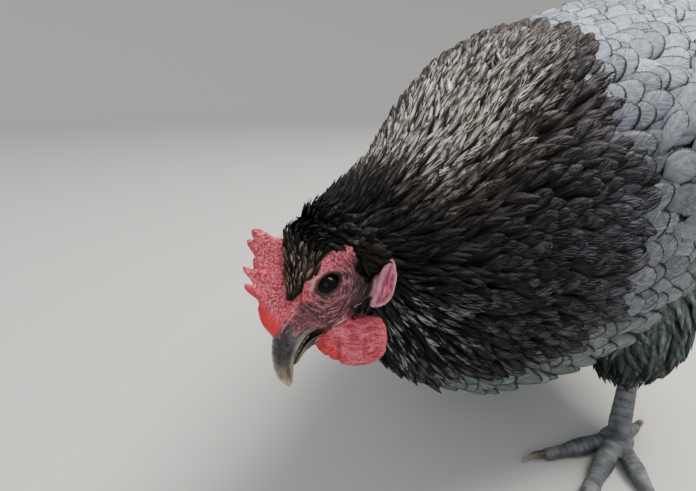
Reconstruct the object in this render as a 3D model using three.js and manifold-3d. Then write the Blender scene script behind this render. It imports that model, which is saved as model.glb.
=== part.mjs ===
// A large laced hen, grazing with her head low: a still, life-size model.
// Frame: millimetres, +Z up. The hen faces -Y and her left side is +X.
// The outlines are those of the plumage, out to the tips of the feathers.

import * as THREE from "three";
import { LoftGeometry } from "three/addons/geometries/LoftGeometry.js";
import { mergeVertices } from "three/addons/utils/BufferGeometryUtils.js";
import Module from "manifold-3d";

const wasm = await Module();
wasm.setup();

// ---------------------------------------------------------------- driving dimensions

const GAP = 0.3; // left between touching pieces
const RING_SIDES = 22; // facets round the body
const radians = THREE.MathUtils.degToRad;

// The head is set out from the middle between the eyes: `ahead` runs to the beak and
// `up` to the crown. It is pitched down, turned a little to its right and rolled so that
// its left eye looks up.
const EYE_MIDDLE = new THREE.Vector3(-6, -160, 120);
const HEAD_PITCH = radians(43);
const HEAD_ROLL = radians(30);
const HEAD_TURN = radians(-6);
const HEAD_LINES = [
  { ahead: 19, rise: 4, drop: 8, half: 5.5, belt: 0.5 },
  { ahead: 11, rise: 10, drop: 13, half: 9.5, belt: 0.5 },
  { ahead: 1, rise: 18, drop: 15.5, half: 14.2, belt: 0.48 },
  { ahead: -11, rise: 24.5, drop: 19.5, half: 16.4, belt: 0.46 },
];

// The neck and trunk, from the nape to the root of the tail. Each line is one slanted
// section: its point on the back, its point on the breast or belly, its half width, the
// height of its widest place as a share of its depth, how far it lies to the left, and
// its share of the head's roll.
const BODY_LINES = [
  { back: [-161, 153], belly: [-137, 106], half: 21, belt: 0.5, sway: -8, roll: 0.77 },
  { back: [-145, 161], belly: [-132, 96], half: 27.5, belt: 0.5, sway: -6.5, roll: 0.5 },
  { back: [-127, 169], belly: [-126, 80], half: 37, belt: 0.5, sway: -4, roll: 0.25 },
  { back: [-105, 182], belly: [-115, 63], half: 46, belt: 0.5, sway: -1, roll: 0.08 },
  { back: [-80, 201], belly: [-98, 49], half: 58, belt: 0.5, sway: 0, roll: 0 },
  { back: [-50, 219], belly: [-76, 42], half: 74, belt: 0.48, sway: 0, roll: 0 },
  { back: [-18, 230], belly: [-36, 40], half: 91, belt: 0.48, sway: 0, roll: 0 },
  { back: [20, 238], belly: [12, 44], half: 98, belt: 0.48, sway: 0, roll: 0 },
  { back: [58, 246], belly: [60, 60], half: 92, belt: 0.5, sway: 0, roll: 0 },
  { back: [92, 254], belly: [100, 94], half: 77, belt: 0.52, sway: 0, roll: 0 },
  { back: [118, 263], belly: [130, 140], half: 57, belt: 0.54, sway: 0, roll: 0 },
  { back: [142, 273], belly: [152, 191], half: 37, belt: 0.56, sway: 0, roll: 0 },
  { back: [160, 281], belly: [168, 236], half: 17, belt: 0.6, sway: 0, roll: 0 },
];
const FULLNESS = 2.15; // 2 is an ellipse, more is squarer

// Where the body is parted, in lines counted from the beak
const NAPE = HEAD_LINES.length;
const SHOULDER = NAPE + 3.6;
const LOIN = NAPE + 7.4;
const RUMP = NAPE + 9.6;
const TAIL_ROOT = NAPE + BODY_LINES.length - 1;
const FLANK_HEIGHT = 150; // the back lies above it, breast and belly below
const FLANK_SLOPE = radians(10);

// Beak, in head lengths as above
const UPPER_BEAK = [
  { ahead: 12.5, top: 8.6, edge: -7.4, half: 8.6 },
  { ahead: 20, top: 6.9, edge: -6.2, half: 7.4 },
  { ahead: 27, top: 3.8, edge: -7.0, half: 6.0 },
  { ahead: 33.5, top: -0.7, edge: -9.8, half: 4.3 },
  { ahead: 38, top: -5.4, edge: -12.0, half: 2.5 },
  { ahead: 40.5, top: -11.2, edge: -13.2, half: 0.7 },
];
const LOWER_BEAK = [
  { ahead: 12, top: -8.6, edge: -14.8, half: 7.6 },
  { ahead: 20, top: -7.4, edge: -13.2, half: 6.2 },
  { ahead: 28, top: -8.8, edge: -12.6, half: 4.4 },
  { ahead: 34, top: -11.6, edge: -12.8, half: 1.4 },
];
const BEAK_BELT = 0.22;

// Single comb: a blade along the middle of the crown, with points
const COMB_THICK = 4.4;
const COMB_FOOT = [
  [28.4, 0.5],
  [15, 4],
  [3, 11],
  [-7, 19],
];
const COMB_FRONT = [28.6, 7]; // bulge of the smooth front edge
const COMB_BACK = [-8.4, 27]; // bulge of the rear edge, under the last point
const COMB_POINTS = [
  { ahead: 18.8, up: 24, valley: [14.6, 20.8] },
  { ahead: 12.7, up: 29.6, valley: [7.6, 25.6] },
  { ahead: 4.2, up: 34.2, valley: [0.8, 27.6] },
  { ahead: -1.8, up: 36, valley: [-5, 28.5] },
];

const EYE = { radius: 6.2, side: 9.7 };
const WATTLE = { length: 12.4, height: 10.2, thick: 2.6, ahead: 9.2, up: -21.5, side: 7.4 };
const EARLOBE = { length: 9.9, width: 4.3, thick: 2.2, ahead: -14.8, up: -16.6, side: 16.4 };

// Folded wing: a leaf on the side of the trunk, in lines along and degrees round
const WING_FROM = NAPE + 5.5;
const WING_TO = NAPE + 10.9;
const WING_DEPTH = 6;
const WING_LIFT = 0.8; // clear of the trunk's facets
const WING_MIDDLE = [16, 34]; // degrees above the widest place, at its front and tip
const WING_HALF = 26; // degrees at its broadest
const WING_BOW = 0.42; // share of its length held by the bow and its coverts
const WING_SPLIT = -0.3; // secondaries above it, primaries below

// Tail: two halves that lean together like a tent
const TAIL_LENGTH = 118;
const TAIL_BASE = { back: [138, 262], low: [152, 205] };
const TAIL_RISE = [52, 16]; // degrees, of the top feathers and the lowest
const TAIL_SPREAD = [2.5, 34];
const TAIL_THICK = 5;

// Legs
const FOOT_SIDE = 69;
const FOOT_Y = { left: -5, right: 50 };
const TOE_OUT = radians(6);
const HOCK = { back: 36, height: 56, inward: 4 };
const SHANK_RADIUS = [6.1, 5.6, 6.6];
const PAD = { radius: 9.5, height: 13, sole: 0.8 };
const TOES = [
  { name: "inner", turn: -38, length: 46, thick: 4.7, claw: 12 },
  { name: "middle", turn: 0, length: 60, thick: 5.2, claw: 14 },
  { name: "outer", turn: 36, length: 48, thick: 4.7, claw: 12 },
  { name: "hind", turn: 168, length: 25, thick: 4.2, claw: 11 },
];
const THIGH_LINES = [
  { z: 120, side: 56, ahead: 2, across: 36, along: 50 },
  { z: 96, side: 62, ahead: -2, across: 34, along: 46 },
  { z: 72, side: 65, ahead: -6, across: 30, along: 38 },
  { z: 52, side: 65, ahead: -8, across: 24, along: 29 },
  { z: 41, side: 64, ahead: -8, across: 15, along: 19 },
];

// ---------------------------------------------------------------- colours

function finish(color, roughness) {
  return new THREE.MeshStandardMaterial({ color, roughness, metalness: 0 });
}

const CAPE_FEATHER = () => finish("#2b2a2c", 0.75);
const BODY_FEATHER = () => finish("#8b8f9c", 0.8);
const DOWN_FEATHER = () => finish("#5a5c63", 0.9);
const FACE_SKIN = () => finish("#a85a5e", 0.6);
const RED_SKIN = () => finish("#d23a46", 0.5);
const HORN = () => finish("#4c4648", 0.35);
const LEG_SCALE = () => finish("#6d7178", 0.5);
const EYE_DARK = () => finish("#1a0f0c", 0.08);

// ---------------------------------------------------------------- solids

// A closed geometry as a solid that can be joined and cut
function solid(geometry) {
  const bare = new THREE.BufferGeometry();
  bare.setAttribute("position", geometry.attributes.position);
  bare.setIndex(geometry.index);
  const merged = mergeVertices(bare, 1e-4);
  const triVerts = new Uint32Array(merged.index.array);
  const vertProperties = merged.attributes.position.array;
  return new wasm.Manifold(new wasm.Mesh({ numProp: 3, vertProperties, triVerts }));
}

// The largest piece of a solid as a geometry again
function shape(cut) {
  const pieces = cut.decompose().sort((a, b) => b.volume() - a.volume());
  const mesh = pieces[0].getMesh();
  const geometry = new THREE.BufferGeometry();
  geometry.setAttribute("position", new THREE.BufferAttribute(mesh.vertProperties, 3));
  geometry.setIndex(new THREE.BufferAttribute(mesh.triVerts, 1));
  geometry.computeVertexNormals();
  return geometry;
}

function carve(geometry, ...tools) {
  const cut = tools.reduce((rest, tool) => rest.subtract(solid(tool)), solid(geometry));
  return shape(cut);
}

function keep(geometry, region) {
  return shape(solid(geometry).intersect(solid(region)));
}

function node(name, geometry, material) {
  const mesh = new THREE.Mesh(geometry, material);
  mesh.name = name;
  return mesh;
}

// ---------------------------------------------------------------- curved lines

// A closed loft whose faces point out, whichever way round its sections are listed
function closedLoft(sections) {
  const middle = (ring) => ring.reduce((sum, p) => sum.add(p), new THREE.Vector3());
  const ring = sections[Math.floor(sections.length / 2)];
  const facing = new THREE.Vector3();
  ring.forEach((p, i) => facing.add(p.clone().cross(ring[(i + 1) % ring.length])));
  const along = middle(sections.at(-1)).sub(middle(sections[0]));
  const turned = facing.dot(along) < 0;
  const rings = sections.map((points) => (turned ? points.toReversed() : points));
  return new LoftGeometry(rings, { capStart: true, capEnd: true });
}

// Three smooth curves through a list of lines: tops, bottoms, and widths
function fair(lines) {
  const curve = (points) => new THREE.CatmullRomCurve3(points, false, "catmullrom", 0.5);
  return {
    last: lines.length - 1,
    top: curve(lines.map((line) => line.top)),
    bottom: curve(lines.map((line) => line.bottom)),
    width: curve(lines.map((line) => new THREE.Vector3(line.half, line.belt, line.square))),
    left: curve(lines.map((line) => line.left)),
  };
}

// A point of the section at `line`, `angle` round from the left side, towards the top
function sectionPoint(fairing, line, angle, grow = 0) {
  const share = line / fairing.last;
  const top = fairing.top.getPoint(share);
  const bottom = fairing.bottom.getPoint(share);
  const width = fairing.width.getPoint(share);
  const depth = top.distanceTo(bottom);
  const rise = top.clone().sub(bottom).normalize();
  const power = 2 / width.z;
  const across = Math.sign(Math.cos(angle)) * Math.abs(Math.cos(angle)) ** power;
  const upward = Math.sign(Math.sin(angle)) * Math.abs(Math.sin(angle)) ** power;
  const reach = (upward > 0 ? 1 - width.y : width.y) * depth + grow;
  const point = bottom.clone().lerp(top, width.y);
  point.addScaledVector(rise, upward * reach);
  const left = fairing.left.getPoint(share).normalize();
  return point.addScaledVector(left, across * (width.x + grow));
}

function section(fairing, line, sides, grow = 0) {
  const points = [];
  for (let i = 0; i < sides; i++) {
    points.push(sectionPoint(fairing, line, (i / sides) * 2 * Math.PI, grow));
  }
  return points;
}

// Evenly spaced places from one line to another
function spaced(from, to, steps) {
  return Array.from({ length: steps + 1 }, (_, i) => from + ((to - from) * i) / steps);
}

// The closed solid through the sections at `places`
function loft(fairing, places, sides, grow = 0) {
  return closedLoft(places.map((line) => section(fairing, line, sides, grow)));
}

// ---------------------------------------------------------------- body

// A place in the head's own frame, and the same place in the body's frame
function headPlace(ahead, up, side = 0) {
  return new THREE.Vector3(side, -ahead, up);
}

const headGroup = new THREE.Group();
headGroup.position.copy(EYE_MIDDLE);
headGroup.rotation.set(HEAD_PITCH, -HEAD_ROLL, HEAD_TURN, "ZXY");
headGroup.updateMatrix();
const toHead = headGroup.matrix.clone().invert();
const headLeft = new THREE.Vector3(1, 0, 0).transformDirection(headGroup.matrix);
const bodyLeft = new THREE.Vector3(1, 0, 0);

function headLine({ ahead, rise, drop, half, belt }) {
  return {
    top: headPlace(ahead, rise).applyMatrix4(headGroup.matrix),
    bottom: headPlace(ahead, -drop).applyMatrix4(headGroup.matrix),
    left: headLeft.clone(),
    half,
    belt,
    square: 2,
  };
}

function bodyLine({ back, belly, half, belt, sway, roll }) {
  const top = new THREE.Vector3(sway, ...back);
  const bottom = new THREE.Vector3(sway, ...belly);
  const axis = top.clone().sub(bottom).cross(bodyLeft).normalize();
  const middle = top.clone().lerp(bottom, 0.5);
  for (const point of [top, bottom]) {
    point.sub(middle).applyAxisAngle(axis, roll * HEAD_ROLL).add(middle);
  }
  const left = bodyLeft.clone().applyAxisAngle(axis, roll * HEAD_ROLL);
  return { top, bottom, left, half, belt, square: FULLNESS };
}

const body = fair([...HEAD_LINES.map(headLine), ...BODY_LINES.map(bodyLine)]);
const SEAM = 0.02; // share of a line left open where the body is parted

const headPlaces = spaced(0, NAPE - SEAM, 9);
const neckPlaces = spaced(NAPE + SEAM, SHOULDER - SEAM, 7);
const forePlaces = spaced(SHOULDER + SEAM, LOIN - SEAM, 7);
const aftPlaces = spaced(LOIN + SEAM, RUMP - SEAM, 5);
const rumpPlaces = spaced(RUMP + SEAM, TAIL_ROOT, 6);
const trunkPlaces = [...neckPlaces, ...forePlaces, ...aftPlaces, ...rumpPlaces];

const wholeTrunk = loft(body, trunkPlaces, RING_SIDES, GAP);
const wholeHead = loft(body, headPlaces, RING_SIDES, GAP).applyMatrix4(toHead);

// A box that holds everything above the sloping flank
function flankRegion(above) {
  const size = 800;
  const region = new THREE.BoxGeometry(size, size, size);
  region.translate(0, 0, above * (size / 2 + GAP / 2));
  region.rotateX(FLANK_SLOPE);
  region.translate(0, 0, FLANK_HEIGHT);
  return region;
}

function trunkNodes() {
  const lobes = [1, -1].flatMap((side) => [earlobe(side, GAP), wattle(side, GAP)]);
  lobes.forEach((lobe) => lobe.applyMatrix4(headGroup.matrix));
  const neck = carve(loft(body, neckPlaces, RING_SIDES), ...lobes);
  const fore = loft(body, forePlaces, RING_SIDES);
  const aft = loft(body, aftPlaces, RING_SIDES);
  const rump = loft(body, rumpPlaces, RING_SIDES);
  return [
    node("neck", neck, CAPE_FEATHER()),
    node("back", keep(fore, flankRegion(1)), BODY_FEATHER()),
    node("breast", keep(fore, flankRegion(-1)), BODY_FEATHER()),
    node("saddle", keep(aft, flankRegion(1)), BODY_FEATHER()),
    node("belly", keep(aft, flankRegion(-1)), DOWN_FEATHER()),
    node("rump", rump, BODY_FEATHER()),
  ];
}

// ---------------------------------------------------------------- head

function beak(lines, grow = 0) {
  const fairing = fair(
    lines.map(({ ahead, top, edge, half }) => ({
      top: headPlace(ahead, top),
      bottom: headPlace(ahead, edge),
      left: bodyLeft,
      half,
      belt: BEAK_BELT,
      square: 2,
    })),
  );
  return loft(fairing, spaced(0, fairing.last, 8), 10, grow);
}

// The blade's outline runs up the front edge, over the points and down the back
function combOutline() {
  const [front, ...rest] = COMB_FOOT;
  const outline = new THREE.Shape();
  outline.moveTo(...front);
  outline.quadraticCurveTo(...COMB_FRONT, 23.8, 15);
  for (const { ahead, up, valley } of COMB_POINTS) {
    const { x, y } = outline.currentPoint;
    outline.quadraticCurveTo((x + ahead) / 2 + 1, (y + up) / 2 - 1, ahead, up);
    outline.quadraticCurveTo((valley[0] + ahead) / 2 - 1, (valley[1] + up) / 2 - 1, ...valley);
  }
  outline.quadraticCurveTo(...COMB_BACK, ...rest.at(-1));
  outline.splineThru([...rest.slice(0, -1).reverse(), front].map((at) => new THREE.Vector2(...at)));
  return outline;
}

function comb() {
  const bevel = 1.2;
  const blade = new THREE.ExtrudeGeometry(combOutline(), {
    depth: COMB_THICK - 2 * bevel,
    bevelThickness: bevel,
    bevelSize: bevel,
    bevelOffset: -bevel,
    bevelSegments: 1,
    curveSegments: 2,
  });
  blade.translate(0, 0, bevel - COMB_THICK / 2);
  blade.rotateX(Math.PI / 2);
  blade.rotateZ(-Math.PI / 2);
  return blade;
}

function eyeball(side, grow = 0) {
  const ball = new THREE.SphereGeometry(EYE.radius + grow, 12, 8);
  ball.translate(side * EYE.side, 0, 0);
  return ball;
}

// A hanging lobe, thin sideways
function wattle(side, grow = 0) {
  const lobe = new THREE.SphereGeometry(1, 10, 6);
  lobe.scale(WATTLE.thick + grow, WATTLE.length + grow, WATTLE.height + grow);
  lobe.rotateX(radians(-24));
  lobe.rotateY(side * radians(-10));
  lobe.translate(side * WATTLE.side, -WATTLE.ahead, WATTLE.up);
  return lobe;
}

function earlobe(side, grow = 0) {
  const lobe = new THREE.SphereGeometry(1, 10, 6);
  lobe.scale(EARLOBE.thick + grow, EARLOBE.width + grow, EARLOBE.length + grow);
  lobe.rotateX(radians(-64));
  lobe.rotateY(side * radians(14));
  lobe.rotateZ(side * radians(24));
  lobe.translate(side * EARLOBE.side, -EARLOBE.ahead, EARLOBE.up);
  return lobe;
}

function headNodes() {
  const face = loft(body, headPlaces, RING_SIDES).applyMatrix4(toHead);
  const upper = carve(beak(UPPER_BEAK), wholeHead);
  const lower = carve(beak(LOWER_BEAK), wholeHead, beak(UPPER_BEAK, GAP));
  const blade = carve(comb(), wholeHead, beak(UPPER_BEAK, GAP));
  const nodes = [
    node("head", carve(face, eyeball(1, GAP), eyeball(-1, GAP)), FACE_SKIN()),
    node("upper_beak", upper, HORN()),
    node("lower_beak", lower, HORN()),
    node("comb", blade, RED_SKIN()),
  ];
  for (const [name, side] of [["left", 1], ["right", -1]]) {
    const hanging = carve(wattle(side), wholeHead, beak(UPPER_BEAK, GAP), beak(LOWER_BEAK, GAP));
    const lobe = carve(earlobe(side), wholeHead);
    nodes.push(node("eye_" + name, eyeball(side), EYE_DARK()));
    nodes.push(node("wattle_" + name, hanging, RED_SKIN()));
    nodes.push(node("earlobe_" + name, lobe, RED_SKIN()));
  }
  return nodes;
}

// ---------------------------------------------------------------- wings

// The trunk's surface lifted along its own normal
function overTrunk(line, angle, lift) {
  const step = 0.01;
  const at = sectionPoint(body, line, angle);
  const along = sectionPoint(body, line + step, angle).sub(at);
  const round = sectionPoint(body, line, angle + step).sub(at);
  return at.addScaledVector(along.cross(round).normalize(), lift);
}

// A point of the wing: s runs from the shoulder to the tip, t from its lower edge (-1)
// to its upper edge (1)
function wingPoint(side, s, t, lift) {
  const line = WING_FROM + (WING_TO - WING_FROM) * s;
  const middle = WING_MIDDLE[0] + (WING_MIDDLE[1] - WING_MIDDLE[0]) * s;
  const half = WING_HALF * Math.sqrt(Math.sin(Math.PI * (0.06 + 0.82 * s ** 0.75)));
  const point = overTrunk(line, radians(middle + t * half), lift);
  point.x *= side;
  return point;
}

function wingDepth(s, t) {
  const ends = Math.sqrt(Math.max(0, 1 - (2 * s - 1) ** 6));
  return 0.8 + WING_DEPTH * ends * (1 - Math.abs(t) ** 4);
}

// The part of a wing between two shares of its length and two of its breadth
function wingPiece(side, [s0, s1], [t0, t1], grow = 0) {
  const steps = 6;
  const across = 6;
  const sections = [];
  for (let i = 0; i <= steps; i++) {
    const s = s0 + ((s1 - s0) * i) / steps;
    const outer = [];
    const inner = [];
    for (let j = 0; j <= across; j++) {
      const t = t0 + ((t1 - t0) * j) / across;
      outer.push(wingPoint(side, s, t, WING_LIFT + wingDepth(s, t) + grow));
      inner.unshift(wingPoint(side, s, t, WING_LIFT - grow));
    }
    sections.push([...outer, ...inner]);
  }
  return closedLoft(sections);
}

function wingNodes(name, side) {
  const seam = 0.004;
  const split = WING_SPLIT + 5 * seam;
  return [
    node("wing_bow_" + name, wingPiece(side, [0, WING_BOW - seam], [-1, 1]), BODY_FEATHER()),
    node("wing_secondaries_" + name, wingPiece(side, [WING_BOW, 1], [split, 1]), BODY_FEATHER()),
    node("wing_primaries_" + name, wingPiece(side, [WING_BOW, 1], [-1, WING_SPLIT]), BODY_FEATHER()),
  ];
}

// ---------------------------------------------------------------- tail

// A point of one half of the tail: s runs along the feathers, t from the ridge down
function tailPoint(side, s, t, out) {
  const mix = THREE.MathUtils.lerp;
  const rise = radians(mix(...TAIL_RISE, t));
  const length = TAIL_LENGTH * (1 - 0.3 * t * t) * s;
  const y = mix(TAIL_BASE.back[0], TAIL_BASE.low[0], t) + Math.cos(rise) * length;
  const z = mix(TAIL_BASE.back[1], TAIL_BASE.low[1], t) + Math.sin(rise) * length;
  const x = mix(...TAIL_SPREAD, Math.sin((t * Math.PI) / 2) * (0.35 + 0.65 * s)) + out;
  return new THREE.Vector3(side * x, y, z);
}

function tailHalf(side) {
  const steps = 5;
  const across = 6;
  const sections = [];
  for (let i = 0; i <= steps; i++) {
    const s = i / steps;
    const thick = TAIL_THICK * (1 - 0.6 * s);
    const outer = [];
    const inner = [];
    for (let j = 0; j <= across; j++) {
      outer.push(tailPoint(side, s, j / across, 0));
      inner.unshift(tailPoint(side, s, j / across, -thick * (0.4 + (0.6 * j) / across)));
    }
    sections.push([...outer, ...inner]);
  }
  return closedLoft(sections);
}

function tailNodes() {
  return [
    node("tail_left", carve(tailHalf(1), wholeTrunk), BODY_FEATHER()),
    node("tail_right", carve(tailHalf(-1), wholeTrunk), BODY_FEATHER()),
  ];
}

// ---------------------------------------------------------------- legs

// A round tube through points, its radius running through `radii`
function tube(points, radii, sides, steps, grow = 0) {
  const path = new THREE.CatmullRomCurve3(points);
  const girth = new THREE.SplineCurve(radii.map((radius, i) => new THREE.Vector2(i, radius)));
  const frames = path.computeFrenetFrames(steps);
  const sections = [];
  for (let i = 0; i <= steps; i++) {
    const centre = path.getPointAt(i / steps);
    const radius = girth.getPoint(i / steps).y + grow;
    const ring = [];
    for (let j = 0; j < sides; j++) {
      const angle = (j / sides) * 2 * Math.PI;
      const out = frames.normals[i].clone().multiplyScalar(Math.cos(angle) * radius);
      out.addScaledVector(frames.binormals[i], Math.sin(angle) * radius);
      ring.push(out.add(centre));
    }
    sections.push(ring);
  }
  return closedLoft(sections);
}

// Everything above the floor
function aboveFloor() {
  const size = 400;
  return new THREE.BoxGeometry(size, size, size).translate(0, 0, size / 2);
}

// A place on a toe's axis, `far` out from the ball of the foot
function toePlace(toe, far, z) {
  const turn = radians(toe.turn);
  return new THREE.Vector3(Math.sin(turn) * far, -Math.cos(turn) * far, z);
}

function toeTube(toe, grow = 0) {
  const { length, thick } = toe;
  const points = [
    toePlace(toe, 0, thick + 2.5),
    toePlace(toe, length * 0.35, thick + 0.6),
    toePlace(toe, length * 0.7, thick * 0.86 - 0.5),
    toePlace(toe, length, thick * 0.7 - 0.4),
  ];
  return tube(points, [thick, thick * 0.98, thick * 0.84, thick * 0.66], 8, 4, grow);
}

function clawTube(toe) {
  const { length, thick, claw } = toe;
  const points = [
    toePlace(toe, length - 2, thick * 0.72 + 0.5),
    toePlace(toe, length + claw * 0.5, thick * 0.72 + 0.7),
    toePlace(toe, length + claw, 0.9),
  ];
  return tube(points, [thick * 0.5, thick * 0.42, 0.5], 6, 3);
}

function footPad(grow = 0) {
  const pad = new THREE.SphereGeometry(1, 10, 6);
  pad.scale(PAD.radius + grow, PAD.radius + grow, PAD.height / 2 + grow);
  pad.translate(0, 0, PAD.height / 2 - PAD.sole);
  return pad;
}

function hockPlace(side) {
  return new THREE.Vector3(-side * HOCK.inward, HOCK.back, HOCK.height);
}

function shank(side, grow = 0) {
  const foot = new THREE.Vector3(0, 2, 9);
  const middle = foot.clone().lerp(hockPlace(side), 0.5);
  return tube([foot, middle, hockPlace(side)], SHANK_RADIUS, 12, 4, grow);
}

function hockJoint(side, grow = 0) {
  const joint = new THREE.SphereGeometry(8.2 + grow, 10, 6);
  return joint.translate(...hockPlace(side).toArray());
}

function legGroup(name, side) {
  const group = new THREE.Group();
  group.position.set(side * FOOT_SIDE, FOOT_Y[name], 0);
  group.rotation.z = side * TOE_OUT;
  const add = (part, geometry) => group.add(node(part + "_" + name, geometry, LEG_SCALE()));
  add("foot_pad", keep(carve(footPad(), shank(side, GAP)), aboveFloor()));
  add("shank", shank(side));
  add("hock", carve(hockJoint(side), shank(side, GAP)));
  const nearer = [footPad(GAP), shank(side, GAP)];
  for (const pattern of TOES) {
    const toe = { ...pattern, turn: side * pattern.turn };
    const body = keep(carve(toeTube(toe), ...nearer), aboveFloor());
    add("toe_" + toe.name, body);
    const claw = keep(carve(clawTube(toe), toeTube(toe, GAP)), aboveFloor());
    group.add(node("claw_" + toe.name + "_" + name, claw, HORN()));
    nearer.push(toeTube(toe, GAP));
  }
  return group;
}

// The feathered thigh, from inside the flank down to the hock
function thigh(name, side) {
  const middle = (FOOT_Y.left + FOOT_Y.right) / 2;
  const lean = FOOT_Y[name] + 22 - middle;
  const sections = THIGH_LINES.map(({ z, side: out, ahead, across, along }) => {
    const forward = middle + ahead + (lean * (140 - z)) / 100;
    const ring = [];
    for (let i = 0; i < 16; i++) {
      const angle = (i / 16) * 2 * Math.PI;
      const x = side * out + Math.cos(angle) * across;
      ring.push(new THREE.Vector3(x, forward + Math.sin(angle) * along, z));
    }
    return ring;
  });
  return closedLoft(sections);
}

function thighNode(name, side, leg) {
  leg.updateMatrix();
  const bones = [shank(side, GAP), hockJoint(side, GAP)];
  bones.forEach((bone) => bone.applyMatrix4(leg.matrix));
  const wing = wingPiece(side, [0, 1], [-1.05, 1], GAP);
  return node("thigh_" + name, carve(thigh(name, side), wholeTrunk, wing, ...bones), DOWN_FEATHER());
}

// ---------------------------------------------------------------- the hen

const hen = new THREE.Group();
hen.add(...trunkNodes(), ...tailNodes());
headGroup.add(...headNodes());
hen.add(headGroup);
for (const [name, side] of [["left", 1], ["right", -1]]) {
  const leg = legGroup(name, side);
  hen.add(leg, thighNode(name, side, leg), ...wingNodes(name, side));
}

// The origin is on the floor, under the middle of the hen's box
hen.updateMatrixWorld(true);
const box = new THREE.Box3().setFromObject(hen, true);
const middle = box.getCenter(new THREE.Vector3());
hen.position.set(-middle.x, -middle.y, 0);

export default hen;
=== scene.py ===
"""A large laced hen, grazing with her head low: a still, life-size model.

The hen faces -Y and her left side is +X. Sizes below are in millimetres, and a place on
her plumage is told in two numbers, one along the body and one round it, as her solids
are set out. Every feather is a thin solid vane that lies on that outline.
"""

import bpy
import numpy as np
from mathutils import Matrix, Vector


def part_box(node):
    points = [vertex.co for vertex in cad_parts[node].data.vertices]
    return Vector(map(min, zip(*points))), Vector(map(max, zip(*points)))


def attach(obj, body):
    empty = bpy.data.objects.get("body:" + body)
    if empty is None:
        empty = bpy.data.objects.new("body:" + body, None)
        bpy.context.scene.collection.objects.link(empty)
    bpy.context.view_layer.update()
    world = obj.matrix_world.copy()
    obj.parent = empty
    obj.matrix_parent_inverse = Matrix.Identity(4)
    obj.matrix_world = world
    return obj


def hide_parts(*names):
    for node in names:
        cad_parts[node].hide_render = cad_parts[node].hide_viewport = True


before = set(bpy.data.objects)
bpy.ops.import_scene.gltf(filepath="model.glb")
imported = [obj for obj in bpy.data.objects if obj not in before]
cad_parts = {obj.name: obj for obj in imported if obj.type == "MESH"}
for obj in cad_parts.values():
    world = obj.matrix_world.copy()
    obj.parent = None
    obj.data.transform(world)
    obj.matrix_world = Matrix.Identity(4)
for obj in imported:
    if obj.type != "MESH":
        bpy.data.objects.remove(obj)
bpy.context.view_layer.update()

MM = 0.001


# ---------------------------------------------------------------- the hen's sizes

HEAD_PITCH = np.radians(43)
HEAD_ROLL = np.radians(30)
HEAD_TURN = np.radians(-6)
# Head sections: how far ahead of the eyes, rise, drop, half width, belt
HEAD_LINES = [(19, 4, 8, 5.5, 0.5), (11, 10, 13, 9.5, 0.5), (1, 18, 15.5, 14.2, 0.48),
    (-11, 24.5, 19.5, 16.4, 0.46)]
# Body sections: back y and z, belly y and z, half width, belt, sway to the left and
# share of the head's roll, counted from the middle between the eyes
BODY_LINES = [(-161, 153, -137, 106, 21, 0.5, -8, 0.77), (-145, 161, -132, 96, 27.5, 0.5, -6.5, 0.5),
    (-127, 169, -126, 80, 37, 0.5, -4, 0.25), (-105, 182, -115, 63, 46, 0.5, -1, 0.08),
    (-80, 201, -98, 49, 58, 0.5, 0, 0), (-50, 219, -76, 42, 74, 0.48, 0, 0),
    (-18, 230, -36, 40, 91, 0.48, 0, 0), (20, 238, 12, 44, 98, 0.48, 0, 0), (58, 246, 60, 60, 92, 0.5, 0, 0),
    (92, 254, 100, 94, 77, 0.52, 0, 0), (118, 263, 130, 140, 57, 0.54, 0, 0),
    (142, 273, 152, 191, 37, 0.56, 0, 0), (160, 281, 168, 236, 17, 0.6, 0, 0)]
FULLNESS = 2.15
EYES_FROM_MIDDLE = np.array([-6.0, -160.0, 120.0])  # the eyes' place in those lines

NAPE = len(HEAD_LINES)
TAIL_ROOT = NAPE + len(BODY_LINES) - 1

WING_FROM, WING_TO = NAPE + 5.5, NAPE + 10.9
WING_DEPTH, WING_LIFT = 6, 1.6
WING_MIDDLE = (16, 34)
WING_HALF = 26

TAIL_LENGTH = 118
TAIL_BACK, TAIL_LOW = (138, 262), (152, 205)
TAIL_RISE = (52, 16)
TAIL_SPREAD = (2.5, 34)

FOOT_SIDE = 69
FOOT_TURN = 6  # degrees that each foot turns outwards
FOOT_Y = {"left": -5, "right": 50}
# Thigh sections: height, distance out, distance ahead, half width across and along
THIGH_LINES = [(120, 56, 2, 36, 50), (96, 62, -2, 34, 46), (72, 65, -6, 30, 38), (52, 65, -8, 24, 29),
    (41, 64, -8, 15, 19)]

SIDES = {"left": 1, "right": -1}


# ---------------------------------------------------------------- numbers and arrays


def unit(vectors):
    """Vectors divided by their own length"""
    return vectors / np.maximum(np.linalg.norm(vectors, axis=-1, keepdims=True), 1e-9)


def circle(count):
    """Evenly spaced angles once round"""
    return np.linspace(0, 2 * np.pi, count, endpoint=False)


def grid(rows, columns):
    """Every pair of a row's value and a column's"""
    return np.meshgrid(rows, columns, indexing="ij")


def step(low, high, value):
    """0 below `low`, 1 above `high`, and an easy curve between"""
    share = np.clip((value - low) / (high - low), 0, 1)
    return share * share * (3 - 2 * share)


def along(points, line):
    """The smooth curve through evenly counted points: a cubic between each pair whose
    slope at a point is half the step from the point before to the point after, with
    the end points mirrored outwards."""
    points = np.asarray(points, float)
    first, last = 2 * points[0] - points[1], 2 * points[-1] - points[-2]
    padded = np.vstack([first, points, last])
    line = np.clip(line, 0, len(points) - 1)
    index = np.minimum(line.astype(int), len(points) - 2)
    t = (line - index)[..., None]
    a, b, c, d = (padded[index + k] for k in range(4))
    slope = (c - a) / 2
    square = a - 2.5 * b + 2 * c - 0.5 * d
    cube = 1.5 * (b - c) + 0.5 * (d - a)
    return b + t * (slope + t * (square + t * cube))


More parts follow.
